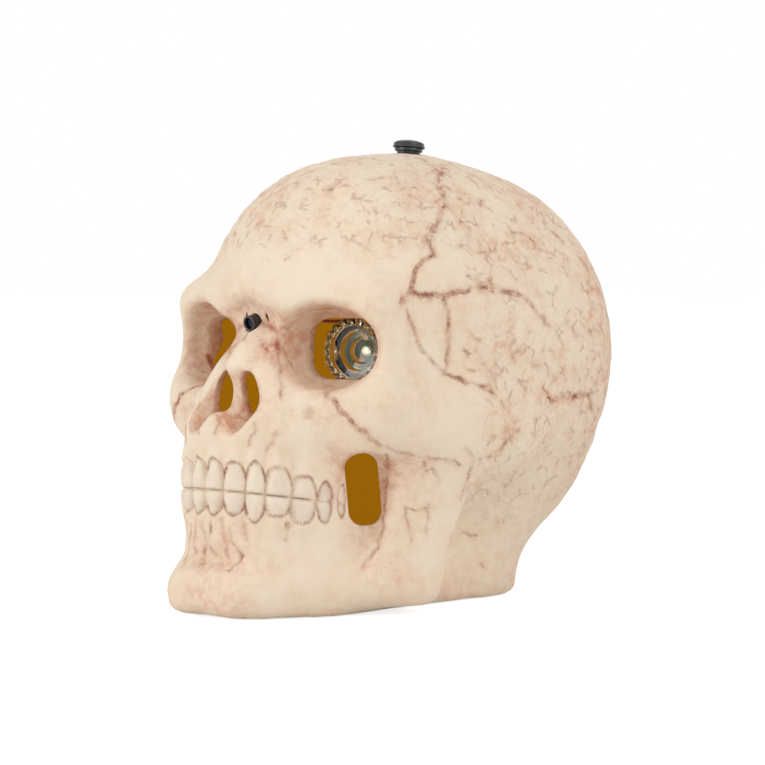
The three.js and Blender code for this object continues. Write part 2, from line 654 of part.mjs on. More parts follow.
const baseCover = () => {
  const body = joined([
    solid(roundedPlate(coverHalfWidth, COVER_HALF_LENGTH, COVER_CORNER, coverBottom, coverTop)
      .translate(0, COVER_Y, 0)),
    solid(compartmentBox(COMPARTMENT_WALL, coverBottom, compartmentTop + COMPARTMENT_WALL)),
    solid(tabBox(DOOR_CLEARANCE + GAP, coverTop - GAP, coverTop + DOOR_ROOF)),
    solid(rod(BOARD_POST_RADIUS, coverTop, doorScrewSeat + SCREW_LENGTH + 1, 16)
      .translate(...doorScrewAt, 0)),
    ...boardPosts.map(([x, y]) =>
      solid(rod(BOARD_POST_RADIUS, coverBottom, boardBottom - GAP, 16).translate(x, y, 0))),
  ]);
  return without(body, [
    solid(compartmentBox(0, coverBottom - 1, compartmentTop)),
    solid(tabBox(DOOR_CLEARANCE, coverBottom - 1, coverTop)),
    solid(pilot().translate(...doorScrewAt, doorScrewSeat)),
    leadHole(0, 1),
    leadHole(2, -1),
    ...boardScrews.map(([x, y]) => solid(turnedOver(pilot()).translate(x, y, boardScrewSeat))),
    ...coverScrews.flatMap(([x, y]) => [
      solid(pilot().translate(x, y, coverScrewSeat)),
      counterbore(x, y, coverScrewSeat),
    ]),
  ]);
};

const batteryDoor = () => without(joined([
  solid(compartmentBox(-DOOR_CLEARANCE, coverBottom, coverTop - GAP)),
  solid(tabBox(0, coverBottom, coverTop - GAP)),
]), [
  solid(pilot().translate(...doorScrewAt, doorScrewSeat)),
  counterbore(...doorScrewAt, doorScrewSeat),
]);

const battery = (index) => {
  const half = BATTERY_LENGTH / 2;
  const nub = 1;
  const cell = turned([
    [0, -half],
    [BATTERY_RADIUS, -half],
    [BATTERY_RADIUS, half - nub],
    [BATTERY_RADIUS * 0.36, half - nub],
    [BATTERY_RADIUS * 0.36, half],
    [0, half],
  ], 20);
  const facing = index % 2 ? Math.PI / 2 : -Math.PI / 2;
  return cell.rotateX(facing).translate(cellX(index), COMPARTMENT_Y, batteryZ);
};

const contact = (first, last, end) => {
  const middle = COMPARTMENT_Y + end * contactOffset;
  return box(
    [cellX(first) - contactHalf, middle - CONTACT_THICK / 2, batteryZ - CONTACT_HEIGHT / 2],
    [cellX(last) + contactHalf, middle + CONTACT_THICK / 2, contactTop],
  );
};

addPart('base_cover', meshOf(baseCover()), BLACK_PLASTIC);
coverScrews.forEach(([x, y], i) => {
  addPart(`base_screw_${i + 1}`, screw().translate(x, y, coverScrewSeat), STEEL);
});
addPart('battery_door', meshOf(batteryDoor()), BLACK_PLASTIC);
addPart('battery_door_screw', screw().translate(...doorScrewAt, doorScrewSeat), STEEL);
for (let i = 0; i < BATTERY_COUNT; i += 1) {
  addPart(`battery_${i + 1}`, battery(i), CELL_JACKET);
}
contacts.forEach(([name, first, last, end]) => addPart(name, contact(first, last, end), STEEL));

// Control board on its posts
const onBoard = ([width, length, height], [x, y]) => box(
  [x - width / 2, BOARD_Y + y - length / 2, boardTop + GAP],
  [x + width / 2, BOARD_Y + y + length / 2, boardTop + GAP + height],
);
const connectorAt = [0, BOARD_LENGTH / 2 - CONNECTOR_INSET];
const connectorTop = boardTop + GAP + CONNECTOR_SIZE[2];
const controlBoard = without(solid(box(
  [-BOARD_WIDTH / 2, BOARD_Y - BOARD_LENGTH / 2, boardBottom],
  [BOARD_WIDTH / 2, BOARD_Y + BOARD_LENGTH / 2, boardTop],
)), boardScrews.map(([x, y]) => solid(turnedOver(pilot()).translate(x, y, boardScrewSeat))));
addPart('control_board', meshOf(controlBoard), BOARD_GREEN);
addPart('control_chip', onBoard(CHIP_SIZE, CHIP_AT), BLACK_PLASTIC);
addPart('wire_connector', onBoard(CONNECTOR_SIZE, connectorAt), CLEAR_PLASTIC);
addPart('board_capacitor', rod(CAPACITOR_RADIUS, 0, CAPACITOR_HEIGHT, 16)
  .translate(CAPACITOR_AT[0], BOARD_Y + CAPACITOR_AT[1], boardTop + GAP), GREY_PLASTIC);
boardScrews.forEach(([x, y], i) => {
  addPart(`board_screw_${i + 1}`, turnedOver(screw()).translate(x, y, boardScrewSeat), STEEL);
});

// Push button, built along the crown's normal with z = 0 on the skull
const flangeTop = GAP + SWITCH_FLANGE_THICK;
const guideBottom = flangeTop - SWITCH_GUIDE_DEPTH;
const capCeiling = flangeTop + BUTTON_TRAVEL + GAP;
const brimTop = flangeTop + BUTTON_BRIM;
const collarTop = guideBottom - GAP;
const collarLow = collarTop - BUTTON_COLLAR;
const plugTop = -SWITCH_BARREL_LENGTH + SWITCH_PLUG_THICK;
const nutTop = -CROWN_SEAT - GAP;

const switchBody = turned([
  [BUTTON_STEM_RADIUS + GAP, guideBottom],
  [SWITCH_BORE_RADIUS, guideBottom],
  [SWITCH_BORE_RADIUS, -SWITCH_BARREL_LENGTH],
  [SWITCH_BARREL_RADIUS, -SWITCH_BARREL_LENGTH],
  [SWITCH_BARREL_RADIUS, GAP],
  [SWITCH_FLANGE_RADIUS, GAP],
  [SWITCH_FLANGE_RADIUS, flangeTop],
  [BUTTON_STEM_RADIUS + GAP, flangeTop],
  [BUTTON_STEM_RADIUS + GAP, guideBottom],
], 28);

const buttonCap = turned([
  [0, collarLow],
  [SWITCH_BORE_RADIUS - GAP, collarLow],
  [SWITCH_BORE_RADIUS - GAP, collarTop],
  [BUTTON_STEM_RADIUS, collarTop],
  [BUTTON_STEM_RADIUS, capCeiling],
  [BUTTON_RADIUS - BUTTON_SKIRT_WALL, capCeiling],
  [BUTTON_RADIUS - BUTTON_SKIRT_WALL, flangeTop],
  [BUTTON_RADIUS, flangeTop],
  [BUTTON_RADIUS, brimTop],
  [BUTTON_RADIUS * 0.8, brimTop + BUTTON_DOME * 0.6],
  [BUTTON_RADIUS * 0.45, brimTop + BUTTON_DOME * 0.9],
  [0, brimTop + BUTTON_DOME],
], 28);

class Helix extends THREE.Curve {
  constructor(radius, low, high, turns) {
    super();
    Object.assign(this, { radius, low, high, turns });
  }

  getPoint(t, target = new THREE.Vector3()) {
    const turn = t * this.turns * Math.PI * 2;
    const height = this.low + (this.high - this.low) * t;
    return target.set(this.radius * Math.cos(turn), this.radius * Math.sin(turn), height);
  }
}
const springEnd = GAP + SPRING_WIRE_RADIUS;
const springLine = new Helix(SPRING_RADIUS, plugTop + springEnd, collarLow - springEnd, SPRING_TURNS);

addPart('switch_body', switchBody, BLACK_PLASTIC, buttonFrame);
addPart('button_cap', buttonCap, BLACK_PLASTIC, buttonFrame);
addPart('button_spring', tube(springLine, SPRING_WIRE_RADIUS, 5, SPRING_TURNS * 8), STEEL, buttonFrame);
addPart('switch_plug', rod(SWITCH_BORE_RADIUS - GAP, -SWITCH_BARREL_LENGTH, plugTop),
  GREY_PLASTIC, buttonFrame);
addPart('switch_nut', meshOf(solid(rod(NUT_RADIUS, nutTop - NUT_THICK, nutTop, 6))
  .subtract(solid(rod(SWITCH_BARREL_RADIUS + GAP, nutTop - NUT_THICK - 1, nutTop + 1)))), STEEL, buttonFrame);
const terminalTop = -SWITCH_BARREL_LENGTH - GAP;
[1, -1].forEach((side, i) => {
  const [thick, wide, tall] = TERMINAL_SIZE;
  addPart(`switch_terminal_${i + 1}`, box(
    [side * TERMINAL_SPREAD - thick / 2, -wide / 2, terminalTop - tall],
    [side * TERMINAL_SPREAD + thick / 2, wide / 2, terminalTop],
  ), BRASS, buttonFrame);
});

// Sound sensor, built along its tube with z = 0 on the nose bridge
const capsuleFront = SENSOR_STANDOUT - CAPSULE_RECESS;
const capsuleBack = capsuleFront - CAPSULE_LENGTH;
const sensorNutFront = -SENSOR_SEAT - GAP;
const sensorNutBack = sensorNutFront - SENSOR_NUT_THICK;
addPart('sensor_tube', ring(SENSOR_RADIUS, SENSOR_BORE_RADIUS, -SENSOR_TAIL, SENSOR_STANDOUT),
  BLACK_PLASTIC, sensorFrame);
addPart('sensor_capsule', rod(SENSOR_BORE_RADIUS - GAP, capsuleBack, capsuleFront, 16),
  GREY_PLASTIC, sensorFrame);
addPart('sensor_nut', ring(SENSOR_NUT_RADIUS, SENSOR_RADIUS + GAP, sensorNutBack, sensorNutFront),
  STEEL, sensorFrame);

// Projector: a stepped clear cup with a beaded rim, turned by a small motor
const lensCup = () => {
  const profile = [
    [0, lensBackAt + SPINDLE_SEAT],
    [SPINDLE_RADIUS + GAP, lensBackAt + SPINDLE_SEAT],
    [SPINDLE_RADIUS + GAP, lensBackAt],
    [LENS_SKIRT_RADIUS - LENS_TAPER, lensBackAt],
    [LENS_SKIRT_RADIUS, -LENS_DEPTH / 3],
    [LENS_SKIRT_RADIUS, 0],
  ];
  LENS_STEPS.forEach((radius, i) => {
    profile.push([radius, (-LENS_DEPTH * i) / LENS_STEPS.length]);
    profile.push([radius, (-LENS_DEPTH * (i + 1)) / LENS_STEPS.length]);
  });
  profile.push([0, -LENS_DEPTH]);
  const beads = Array.from({ length: BEAD_COUNT }, (_, i) => {
    const turn = (i / BEAD_COUNT) * Math.PI * 2;
    const away = LENS_RADIUS - BEAD_RADIUS;
    return solid(new THREE.IcosahedronGeometry(BEAD_RADIUS)
      .rotateZ(turn)
      .translate(away * Math.cos(turn), away * Math.sin(turn), 0));
  });
  return meshOf(joined([solid(turned(profile, 30)), ...beads]));
};

const spindleFront = lensBackAt + SPINDLE_SEAT - GAP;
const spindleBack = spindleFront - SPINDLE_LENGTH;
const gearMotor = turned([
  [0, motorEnd],
  [MOTOR_CAN_RADIUS, motorEnd],
  [MOTOR_CAN_RADIUS, motorBack],
  [MOTOR_RADIUS, motorBack],
  [MOTOR_RADIUS, motorFront],
  [MOTOR_NECK_RADIUS, motorFront],
  [MOTOR_NECK_RADIUS, motorNeckFront],
  [SPINDLE_RADIUS + GAP, motorNeckFront],
  [SPINDLE_RADIUS + GAP, spindleBack - GAP],
  [0, spindleBack - GAP],
]);

const led = (index) => {
  const turn = (index / LED_COUNT) * Math.PI * 2;
  return turned([
    [0, 0],
    [LED_RADIUS, 0],
    [LED_RADIUS, LED_HEIGHT * 0.55],
    [LED_RADIUS * 0.7, LED_HEIGHT * 0.88],
    [0, LED_HEIGHT],
  ], 12).translate(LED_CIRCLE * Math.cos(turn), LED_CIRCLE * Math.sin(turn), ledBoardFront + GAP);
};

const projectorBracket = () => {
  const [x, y, z] = clampMiddle;
  const [thick, wide, tall] = BRACKET_PLATE;
  const [armWide, armTall] = BRACKET_ARM;
  const clampLow = (motorFront + motorBack - CLAMP_LENGTH) / 2;
  const clampRadius = MOTOR_RADIUS + GAP + CLAMP_WALL;
  const plateFar = BRACKET_SEAT_X - GAP;
  const body = joined([
    solid(inFrame(rod(clampRadius, clampLow, clampLow + CLAMP_LENGTH, 28), projectorFrame)),
    solid(box(
      [x, y - armWide / 2, z - armTall / 2],
      [plateFar - thick / 2, y + armWide / 2, z + armTall / 2],
    )),
    solid(box([plateFar - thick, y - wide / 2, z - tall / 2], [plateFar, y + wide / 2, z + tall / 2])),
  ]);
  return meshOf(without(body, [
    solid(inFrame(rod(MOTOR_RADIUS + GAP, motorEnd, motorFront + 1, 24), projectorFrame)),
    ...bracketScrews.map(([screwY, screwZ]) => solid(alongX(pilot(), bracketScrewSeat, screwY, screwZ))),
  ]));
};

addPart('lens', lensCup(), CLEAR_PLASTIC, projectorFrame);
addPart('lens_spindle', rod(SPINDLE_RADIUS, spindleBack, spindleFront, 14), STEEL, projectorFrame);
addPart('led_board', ring(LED_BOARD_RADIUS, SPINDLE_RADIUS + 1, ledBoardBack, ledBoardFront),
  BOARD_GREEN, projectorFrame);
for (let i = 0; i < LED_COUNT; i += 1) {
  addPart(`led_${i + 1}`, led(i), LED_AMBER, projectorFrame);
}
addPart('gear_motor', gearMotor, STEEL, projectorFrame);
addPart('projector_bracket', projectorBracket(), BLACK_PLASTIC);
bracketScrews.forEach(([y, z], i) => {
  addPart(`bracket_screw_${i + 1}`, alongX(screw(), bracketScrewSeat, y, z), STEEL);
});

// Wires from each device to the connector, in pairs
const worldPoint = (frame, x, y, z) => new THREE.Vector3(x, y, z).applyMatrix4(frame.matrixWorld).toArray();
const connectorPin = (index) => {
  const pins = 8;
  const pitch = CONNECTOR_SIZE[0] / pins;
  const x = (index - (pins - 1) / 2) * pitch;
  const y = BOARD_Y + connectorAt[1];
  return [[x, y, connectorTop + 14], [x, y, connectorTop + GAP]];
};

const wire = (name, points, pin, material) => {
  const route = [...points, ...connectorPin(pin)].map((point) => new THREE.Vector3(...point));
  addPart(name, tube(new THREE.CatmullRomCurve3(route), WIRE_RADIUS, WIRE_SIDE_COUNT, WIRE_STEP_COUNT), material);
};

const leadStart = (index, end, out) =>
  [cellX(index), COMPARTMENT_Y + end * (contactOffset + CONTACT_THICK / 2 + GAP + out), leadZ];

wire('switch_wire_red', [
  worldPoint(buttonFrame, TERMINAL_SPREAD, 0, terminalTop - TERMINAL_SIZE[2] - GAP),
  ...SWITCH_RED_ROUTE,
], 5, WIRE_RED);
wire('switch_wire_black', [
  worldPoint(buttonFrame, -TERMINAL_SPREAD, 0, terminalTop - TERMINAL_SIZE[2] - GAP),
  ...SWITCH_BLACK_ROUTE,
], 4, WIRE_BLACK);
wire('sensor_wire_red', [
  worldPoint(sensorFrame, SENSOR_LEAD_SPREAD, 0, capsuleBack - GAP),
  worldPoint(sensorFrame, SENSOR_LEAD_SPREAD, 0, -SENSOR_TAIL - 1),
  ...SENSOR_RED_ROUTE,
], 7, WIRE_RED);
wire('sensor_wire_black', [
  worldPoint(sensorFrame, -SENSOR_LEAD_SPREAD, 0, capsuleBack - GAP),
  worldPoint(sensorFrame, -SENSOR_LEAD_SPREAD, 0, -SENSOR_TAIL - 1),
  ...SENSOR_BLACK_ROUTE,
], 6, WIRE_BLACK);
wire('motor_wire_red', [
  worldPoint(projectorFrame, 0, MOTOR_LEAD_SPREAD, motorEnd - GAP),
  worldPoint(projectorFrame, 0, MOTOR_LEAD_SPREAD, motorEnd - 6),
  ...MOTOR_RED_ROUTE,
], 2, WIRE_RED);
wire('motor_wire_black', [
  worldPoint(projectorFrame, 0, -MOTOR_LEAD_SPREAD, motorEnd - GAP),
  worldPoint(projectorFrame, 0, -MOTOR_LEAD_SPREAD, motorEnd - 6),
  ...MOTOR_BLACK_ROUTE,
], 1, WIRE_BLACK);
wire('battery_wire_red', [
  leadStart(0, 1, 0),
  leadStart(0, 1, 5),
  ...BATTERY_RED_ROUTE,
], 0, WIRE_RED);
wire('battery_wire_black', [
  leadStart(2, -1, 0),
  leadStart(2, -1, 5),
  [14, COMPARTMENT_Y - compartmentHalfLength, compartmentTop + 8],
  [10, COMPARTMENT_Y, compartmentTop + 9],
  [4, -2, compartmentTop + 14],
], 3, WIRE_BLACK);

// Stand the skull on z = 0 with its middle over the origin
const bounds = new THREE.Box3().setFromObject(object, true);
object.position.set(-(bounds.min.x + bounds.max.x) / 2, -(bounds.min.y + bounds.max.y) / 2, -bounds.min.z);

export default object;
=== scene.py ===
import math
from functools import partial

import bmesh
import bpy
import numpy as np
from bpy.props import FloatProperty, FloatVectorProperty, IntProperty, PointerProperty
from bpy.types import Operator, Panel, PropertyGroup
from mathutils import Matrix, Vector, noise
from mathutils.bvhtree import BVHTree
from mathutils.kdtree import KDTree


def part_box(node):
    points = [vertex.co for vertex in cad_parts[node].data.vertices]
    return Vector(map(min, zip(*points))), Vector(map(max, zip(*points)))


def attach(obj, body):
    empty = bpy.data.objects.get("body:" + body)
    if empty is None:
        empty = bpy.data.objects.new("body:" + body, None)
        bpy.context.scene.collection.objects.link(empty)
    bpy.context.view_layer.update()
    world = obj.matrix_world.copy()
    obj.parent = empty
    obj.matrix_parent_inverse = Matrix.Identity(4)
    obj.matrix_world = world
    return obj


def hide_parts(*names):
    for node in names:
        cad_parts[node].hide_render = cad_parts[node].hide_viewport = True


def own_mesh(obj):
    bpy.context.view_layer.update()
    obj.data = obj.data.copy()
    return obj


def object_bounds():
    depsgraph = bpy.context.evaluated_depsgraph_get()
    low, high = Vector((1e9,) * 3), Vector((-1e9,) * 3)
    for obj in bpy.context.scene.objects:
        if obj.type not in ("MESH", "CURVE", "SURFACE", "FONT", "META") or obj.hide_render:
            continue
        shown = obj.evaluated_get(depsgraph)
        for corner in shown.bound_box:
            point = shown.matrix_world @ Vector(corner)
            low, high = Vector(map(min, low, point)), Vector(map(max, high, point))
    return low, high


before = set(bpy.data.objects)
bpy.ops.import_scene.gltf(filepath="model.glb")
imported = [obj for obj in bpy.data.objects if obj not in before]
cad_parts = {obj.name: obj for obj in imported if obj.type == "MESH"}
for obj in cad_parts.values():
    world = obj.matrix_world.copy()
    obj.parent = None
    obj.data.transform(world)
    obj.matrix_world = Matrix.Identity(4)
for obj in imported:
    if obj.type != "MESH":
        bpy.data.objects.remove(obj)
CAD_LOW, CAD_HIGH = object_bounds()

bl_info = {
    "name": "Skull decoration looks",
    "version": (1, 0, 0),
    "blender": (4, 5, 0),
    "location": "View3D > Sidebar > Skull",
    "description": "Dresses the packed skull decoration with its sculpted shell, works and finishes",
    "category": "Object",
}

# Frame: the sculpt is worked in the source's own millimetres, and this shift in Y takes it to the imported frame
MM = 0.001
COVER_Y = -25.0
COVER_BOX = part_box("base_cover")
SHIFT = Vector((0, (COVER_BOX[0][1] + COVER_BOX[1][1]) / (2 * MM) - COVER_Y, 0))

# Clay forms of the skull: place, size and blend of each lump, for the left side where it has two
VAULT = {"at": (0, -7, 96.7), "radii": (70, 83.5, 81.5)}
FOREHEAD = {"at": (0, -40.7, 115), "radii": (57, 45.2, 57.4), "blend": 14}
OCCIPUT = {"at": (0, 34.3, 97.8), "radii": (65.5, 48, 69.5), "blend": 16}
NAPE = {"at": (0, 28.6, 60.8), "radii": (47, 48.3, 46.8), "blend": 16}
NECK = {"at": (0, 8, 17), "radii": (38, 37), "half": 30, "round": 16, "blend": 16}
TEMPLE = {"at": (80, -48, 103), "radii": (15, 24, 30), "blend": 16}
BROW = {"from": (8, -84, 121), "to": (46, -73, 118.3), "radii": (9, 8), "blend": 12}
MIDFACE = {"at": (0, -70, 79), "radii": (42, 30, 34), "blend": 12}
ORBIT_SIDE = {"from": (50, -70, 115), "to": (51, -70, 87), "radii": (6, 8), "blend": 8}
CHEEKBONE = {"at": (41, -75, 79), "radii": (13, 12, 12), "blend": 12}
CHEEK_ARCH = {"from": (46, -64, 74), "to": (53, -8, 69), "radii": (14, 14), "blend": 16}
NASION = {"at": (0, -99.8, 108), "radii": (17, 18, 11), "blend": 8}
NOSE_BRIDGE = {"from": (0, -82, 113), "to": (0, -98.3, 93.5), "radii": (5.5, 4.5), "blend": 7}
NOSE_SIDE = {"from": (9, -80, 106), "to": (13.6, -94.6, 79), "radii": (6, 6), "blend": 8}
CHEEK_ROOT = {"from": (42, -70, 75), "to": (35, -72, 57), "radii": (9, 7), "blend": 8}
CHIN = {"at": (0, -103.6, 8.5), "half": (20, 16, 10.5), "round": 9, "blend": 10}
JAW_BODY = {"from": (17, -99.6, 8), "to": (42, -54, 13), "radii": (13, 14), "blend": 12}
JAW_RAMUS = {"at": (46, -47, 37), "half": (8, 17, 37), "round": 7, "pitch": -20, "yaw": -14, "blend": 10}
JAW_FILL = {"at": (0, -45, 25), "half": (36, 46, 40), "round": 14, "blend": 8}
CHEEK_HOLLOW = {"at": (44, -73, 48), "radii": (8, 8, 15), "blend": 5}
SKULL_HEART = np.array((0.0, -40.0, 84.0))
MARCH_IN = {"start": 150.0, "rounds": 70, "stride": 0.85}
MARCH_OUT = {"start": 4.0, "rounds": 90, "stride": 0.7}
SKIN = -0.3
FLOOR = 6.0
FOOT_BLEND = 5.0
JAW_LIFT = 2.8
JAW_LIFT_X = (33, 45)

# Sockets and the holes through the wall
ORBIT = {"at": (32.2, -82, 102), "radii": (19.2, 20, 15.5), "yaw": 14, "blend": 6}
NOSTRIL = {"at": (7.4, -106, 82.6), "radii": (6.8, 10, 12.4), "roll": -14, "blend": 3}
EYE_HOLE = {"at": (30.6, -71.7, 101.2), "half": (16.2, 11.7), "corner": 9, "yaw": 14,
            "front": 2, "back": 24}
NOSE_HOLE = {"at": (7.4, -100, 83.4), "half": (4.8, 10), "lean": -14, "front": 10, "back": 14}
CHEEK_SLOT = {"at": (39, -69.6, 48), "half": (6.3, 14), "corner": 5.6, "lean": -5, "yaw": 43,
              "front": 17, "back": 17}

# Tooth arch in the bite plane, which leans back with the face
BITE_CENTRE = np.array((0.0, -73.4, 42.15))
BITE_LEAN = 9.0
ARCH_HALF_WIDTH = 36.0
ARCH_DEPTH = 43.8
GUM_INSET = 2.0
GUM_GROOVE = 0.8
GUM_GROOVE_REACH = 1.0
UPPER_GUM = {"rise": 16, "half": 15, "round": 8, "blend": 10}
LOWER_GUM = {"rise": -12, "half": 14, "round": 7, "blend": 8}
BITE_FILL = {"rise": 1, "half": 6, "round": 1.5, "blend": 2}
TOOTH_WIDTHS = (8.6, 9.3, 7.9, 10.5, 10.7, 8.1, 6.2)
UPPER_TEETH = {"side": 1.0, "rise": 4.5, "half_height": 10.5, "taper": 0.42, "scale": 1.0, "root": 11}
LOWER_TEETH = {"side": -1.0, "rise": -3.5, "half_height": 8.6, "taper": 0.34, "scale": 0.99, "root": -6}
UPPER_HEIGHTS = (0.95, 0.92, 0.91, 0.92, 0.77, 0.79, 0.66)
LOWER_HEIGHTS = (0.83, 0.82, 0.95, 0.78, 0.96, 0.88, 0.70)
TOOTH_HALF_DEPTH = 4.2
TOOTH_FLATNESS = 0.5
TOOTH_GAP = 0.22
TOOTH_BLEND = 0.4
BITE_OVERLAP = 0.15
BITE_BLEND = 0.9
ROOT_START = 2
ROOT_INSETS = (3.6, 4.8)
ROOT_SWELL = (0.38, 0.24)
ROOT_BLEND = 2.0
FAR_OFF = 50.0

# Zones: points in front of a plane, near the middle and between two heights over the foot or the bite plane
TEETH_REACH = {"before": -56, "aside": math.inf, "rise": (-30, 36)}
SOCKETS_REACH = {"before": -40, "aside": math.inf, "height": (56, 132)}
FACE_ZONE = {"before": -58, "aside": 58, "height": (12, 128)}
MOUTH_ZONE = {"before": -68, "aside": 40, "rise": (-16, 20)}
GUM_ZONE = {"before": -62, "aside": 44, "height": (10, 82)}
SOCKET_ZONE = {"before": -56, "aside": 56, "height": (64, 126)}

# Mesh of the skin: splits of the first balls, zones whose longer edges are halved, and steps of the working in
OUTSIDE_SPLITS = 6
INSIDE_SPLITS = 5
ZONE_CUTS = ((FACE_ZONE, 1.4), (FACE_ZONE, 1.4), (MOUTH_ZONE, 0.72))
TOOTH_STEPS = (0.5, 1.0)
SOCKET_STEPS = np.linspace(0.05, 1, 16)

# Seats for the button, the sensor, the cover and the bracket
CROWN = Vector((0, -1.6, 178.029))
BUTTON_AXIS = Vector((0, math.sin(math.radians(6)), math.cos(math.radians(6))))
BRIDGE = Vector((0, -90.499, 111.0))
SENSOR_AXIS = Vector((0, -math.cos(math.radians(10)), -math.sin(math.radians(10))))
LENS_AT = Vector((29, -64.5, 100))
LENS_AXIS = Vector((math.sin(math.radians(14)), -math.cos(math.radians(14)), 0))
COVER_HALF = (31.0, 51.0)
COVER_CORNER = 14.0
LIP_WIDTH = 6.5
COVER_SCREW_X = 27.75
COVER_SCREW_Y = (9.0, -59.0)
COVER_SCREWS = [(x, y) for x in (COVER_SCREW_X, -COVER_SCREW_X) for y in COVER_SCREW_Y]
COVER_SEAT = 1.9
BRACKET_SCREW_Y = -37.72
BRACKET_SCREW_Z = (110.0, 90.0)
BRACKET_SEAT_X = 47.2
BOARD_SCREWS = ((14.5, 14.5), (-14.5, 1.5))
BOARD_SEAT = 13.3
GAP = 0.3
REBATE_TOP = 3.4
BOSS_RADIUS = 3.6
BOSS_TOP = 11
SIDE_BOSS_RADIUS = 3.8
SIDE_BOSS_X = (50, 56)
BUTTON_HOLE = 4.9
BUTTON_SEAT = {"radius": 8.6, "low": -20, "high": -2.4}
SENSOR_HOLE = 3.3
SENSOR_SEAT = {"radius": 6.4, "low": -14, "high": -3.2}
PILOT = {"radius": 1.5, "low": -0.3, "high": 7.3}
HOLE_SPAN = (-20, 10)
GROUND = 400
ALONG_X = Matrix.Rotation(math.pi / 2, 4, "Y")

# Turned pieces: radius and height of each corner of their profiles
CAP_PROFILE = ((0, -2.3), (3.3, -2.3), (3.3, -1.0), (1.8, -1.0), (1.8, 3.3), (5.9, 3.3), (5.9, 1.8), (6.5, 1.8),
               (6.5, 2.5), (6.2, 2.8))
CAP_DOME = {"radius": 6.2, "height": 3.3, "drop": 1.7, "steps": 10}
BODY_PROFILE = ((2.1, -0.7), (3.6, -0.7), (3.6, -13), (4.6, -13), (4.6, 0.3), (5.6, 0.3), (5.6, 1.8), (2.1, 1.8),
                (2.1, -0.7))
TUBE_PROFILE = ((2.1, -8), (3.0, -8), (3.0, 1.5), (2.1, 1.5), (2.1, -8))
CAPSULE_PROFILE = ((0, -5.1), (1.8, -5.1), (1.8, -0.1), (1.2, -0.1), (1.1, -0.35), (0, -0.35))
LENS_PROFILE = ((0, -10), (1.8, -10), (1.8, -12), (9, -12), (12.4, -3), (12.4, 0), (10.6, 0), (10.6, -3), (7.4, -3),
                (7.4, -6), (4.6, -6), (4.6, -9), (0, -9))
SCREW_PROFILE = ((0, -1.3), (1.6, -1.3), (2.25, -1.05), (2.5, -0.6), (2.5, 0), (1.2, 0), (1.2, 6.4), (0.5, 7), (0, 7))
COIL = {"turns": 5, "steps": 24, "low": -9.65, "high": -2.95, "radius": 2.6, "wire": 0.35, "foot": -10.3}
BEAD = {"count": 20, "radius": 1.7, "ring": 11.5}
RECESS = {"halves": ((1.35, 0.26), (0.26, 1.35)), "corner": 0.08, "low": -1.6, "high": -0.55}

# Photograph: camera round the skull, and the cracks and creases that its pixels show
IMAGE_SIZE = 765
PHOTO_TARGET = Vector((-13, -3, 85))
SUTURES = {
    "coronal": ((443, 163), (438, 183), (446, 202), (436, 226), (429, 242), (433, 254), (418, 265),
                (410, 292), (400, 303)),
    "squamosal": ((411, 293), (441, 296), (454, 294), (479, 287), (500, 290), (523, 295), (536, 311),
                  (545, 319), (550, 327)),
    "vertical": ((442, 296), (447, 310), (448, 327), (447, 369), (443, 374), (477, 385), (492, 391)),
    "rear": ((548, 394), (552, 402), (571, 397), (589, 395), (592, 410)),
    "cheek": ((327, 388), (327, 395), (336, 403), (341, 412), (350, 421), (361, 430), (380, 447)),
}
CREASES = {
    "temporal_ridge": ((407, 311), (421, 349), (441, 370)),
    "nasal": ((247, 332), (242, 340), (230, 349)),
    "sensor_side": ((261, 321), (271, 327), (278, 332)),
    "lacrimal": ((278, 332), (277, 343), (278, 354), (280, 365), (280, 377), (282, 389), (282, 398)),
    "inner_orbit": ((283, 347), (288, 357), (294, 368)),
    "root_1": ((256, 424), (252, 436), (249, 445)),
    "root_2": ((275, 434), (272, 443), (267, 451)),
    "root_3": ((221, 418), (215, 433)),
    "root_4": ((221, 520), (222, 532), (226, 545), (228, 556)),
    "root_5": ((245, 522), (246, 540)),
    "root_6": ((288, 524), (287, 540)),
    "root_7": ((201, 522), (206, 542), (203, 562)),
    "root_8": ((191, 526), (189, 548), (183, 566)),
    "arch_edge": ((387, 448), (398, 452), (412, 456), (433, 459), (450, 460), (462, 467)),
    "arch_end": ((466, 449), (473, 458)),
    "skull_base": ((519, 431), (505, 446), (496, 455), (474, 462), (468, 480), (461, 499)),
    "slot_rim": ((387, 456), (386, 480), (384, 512), (378, 547), (362, 566)),
}
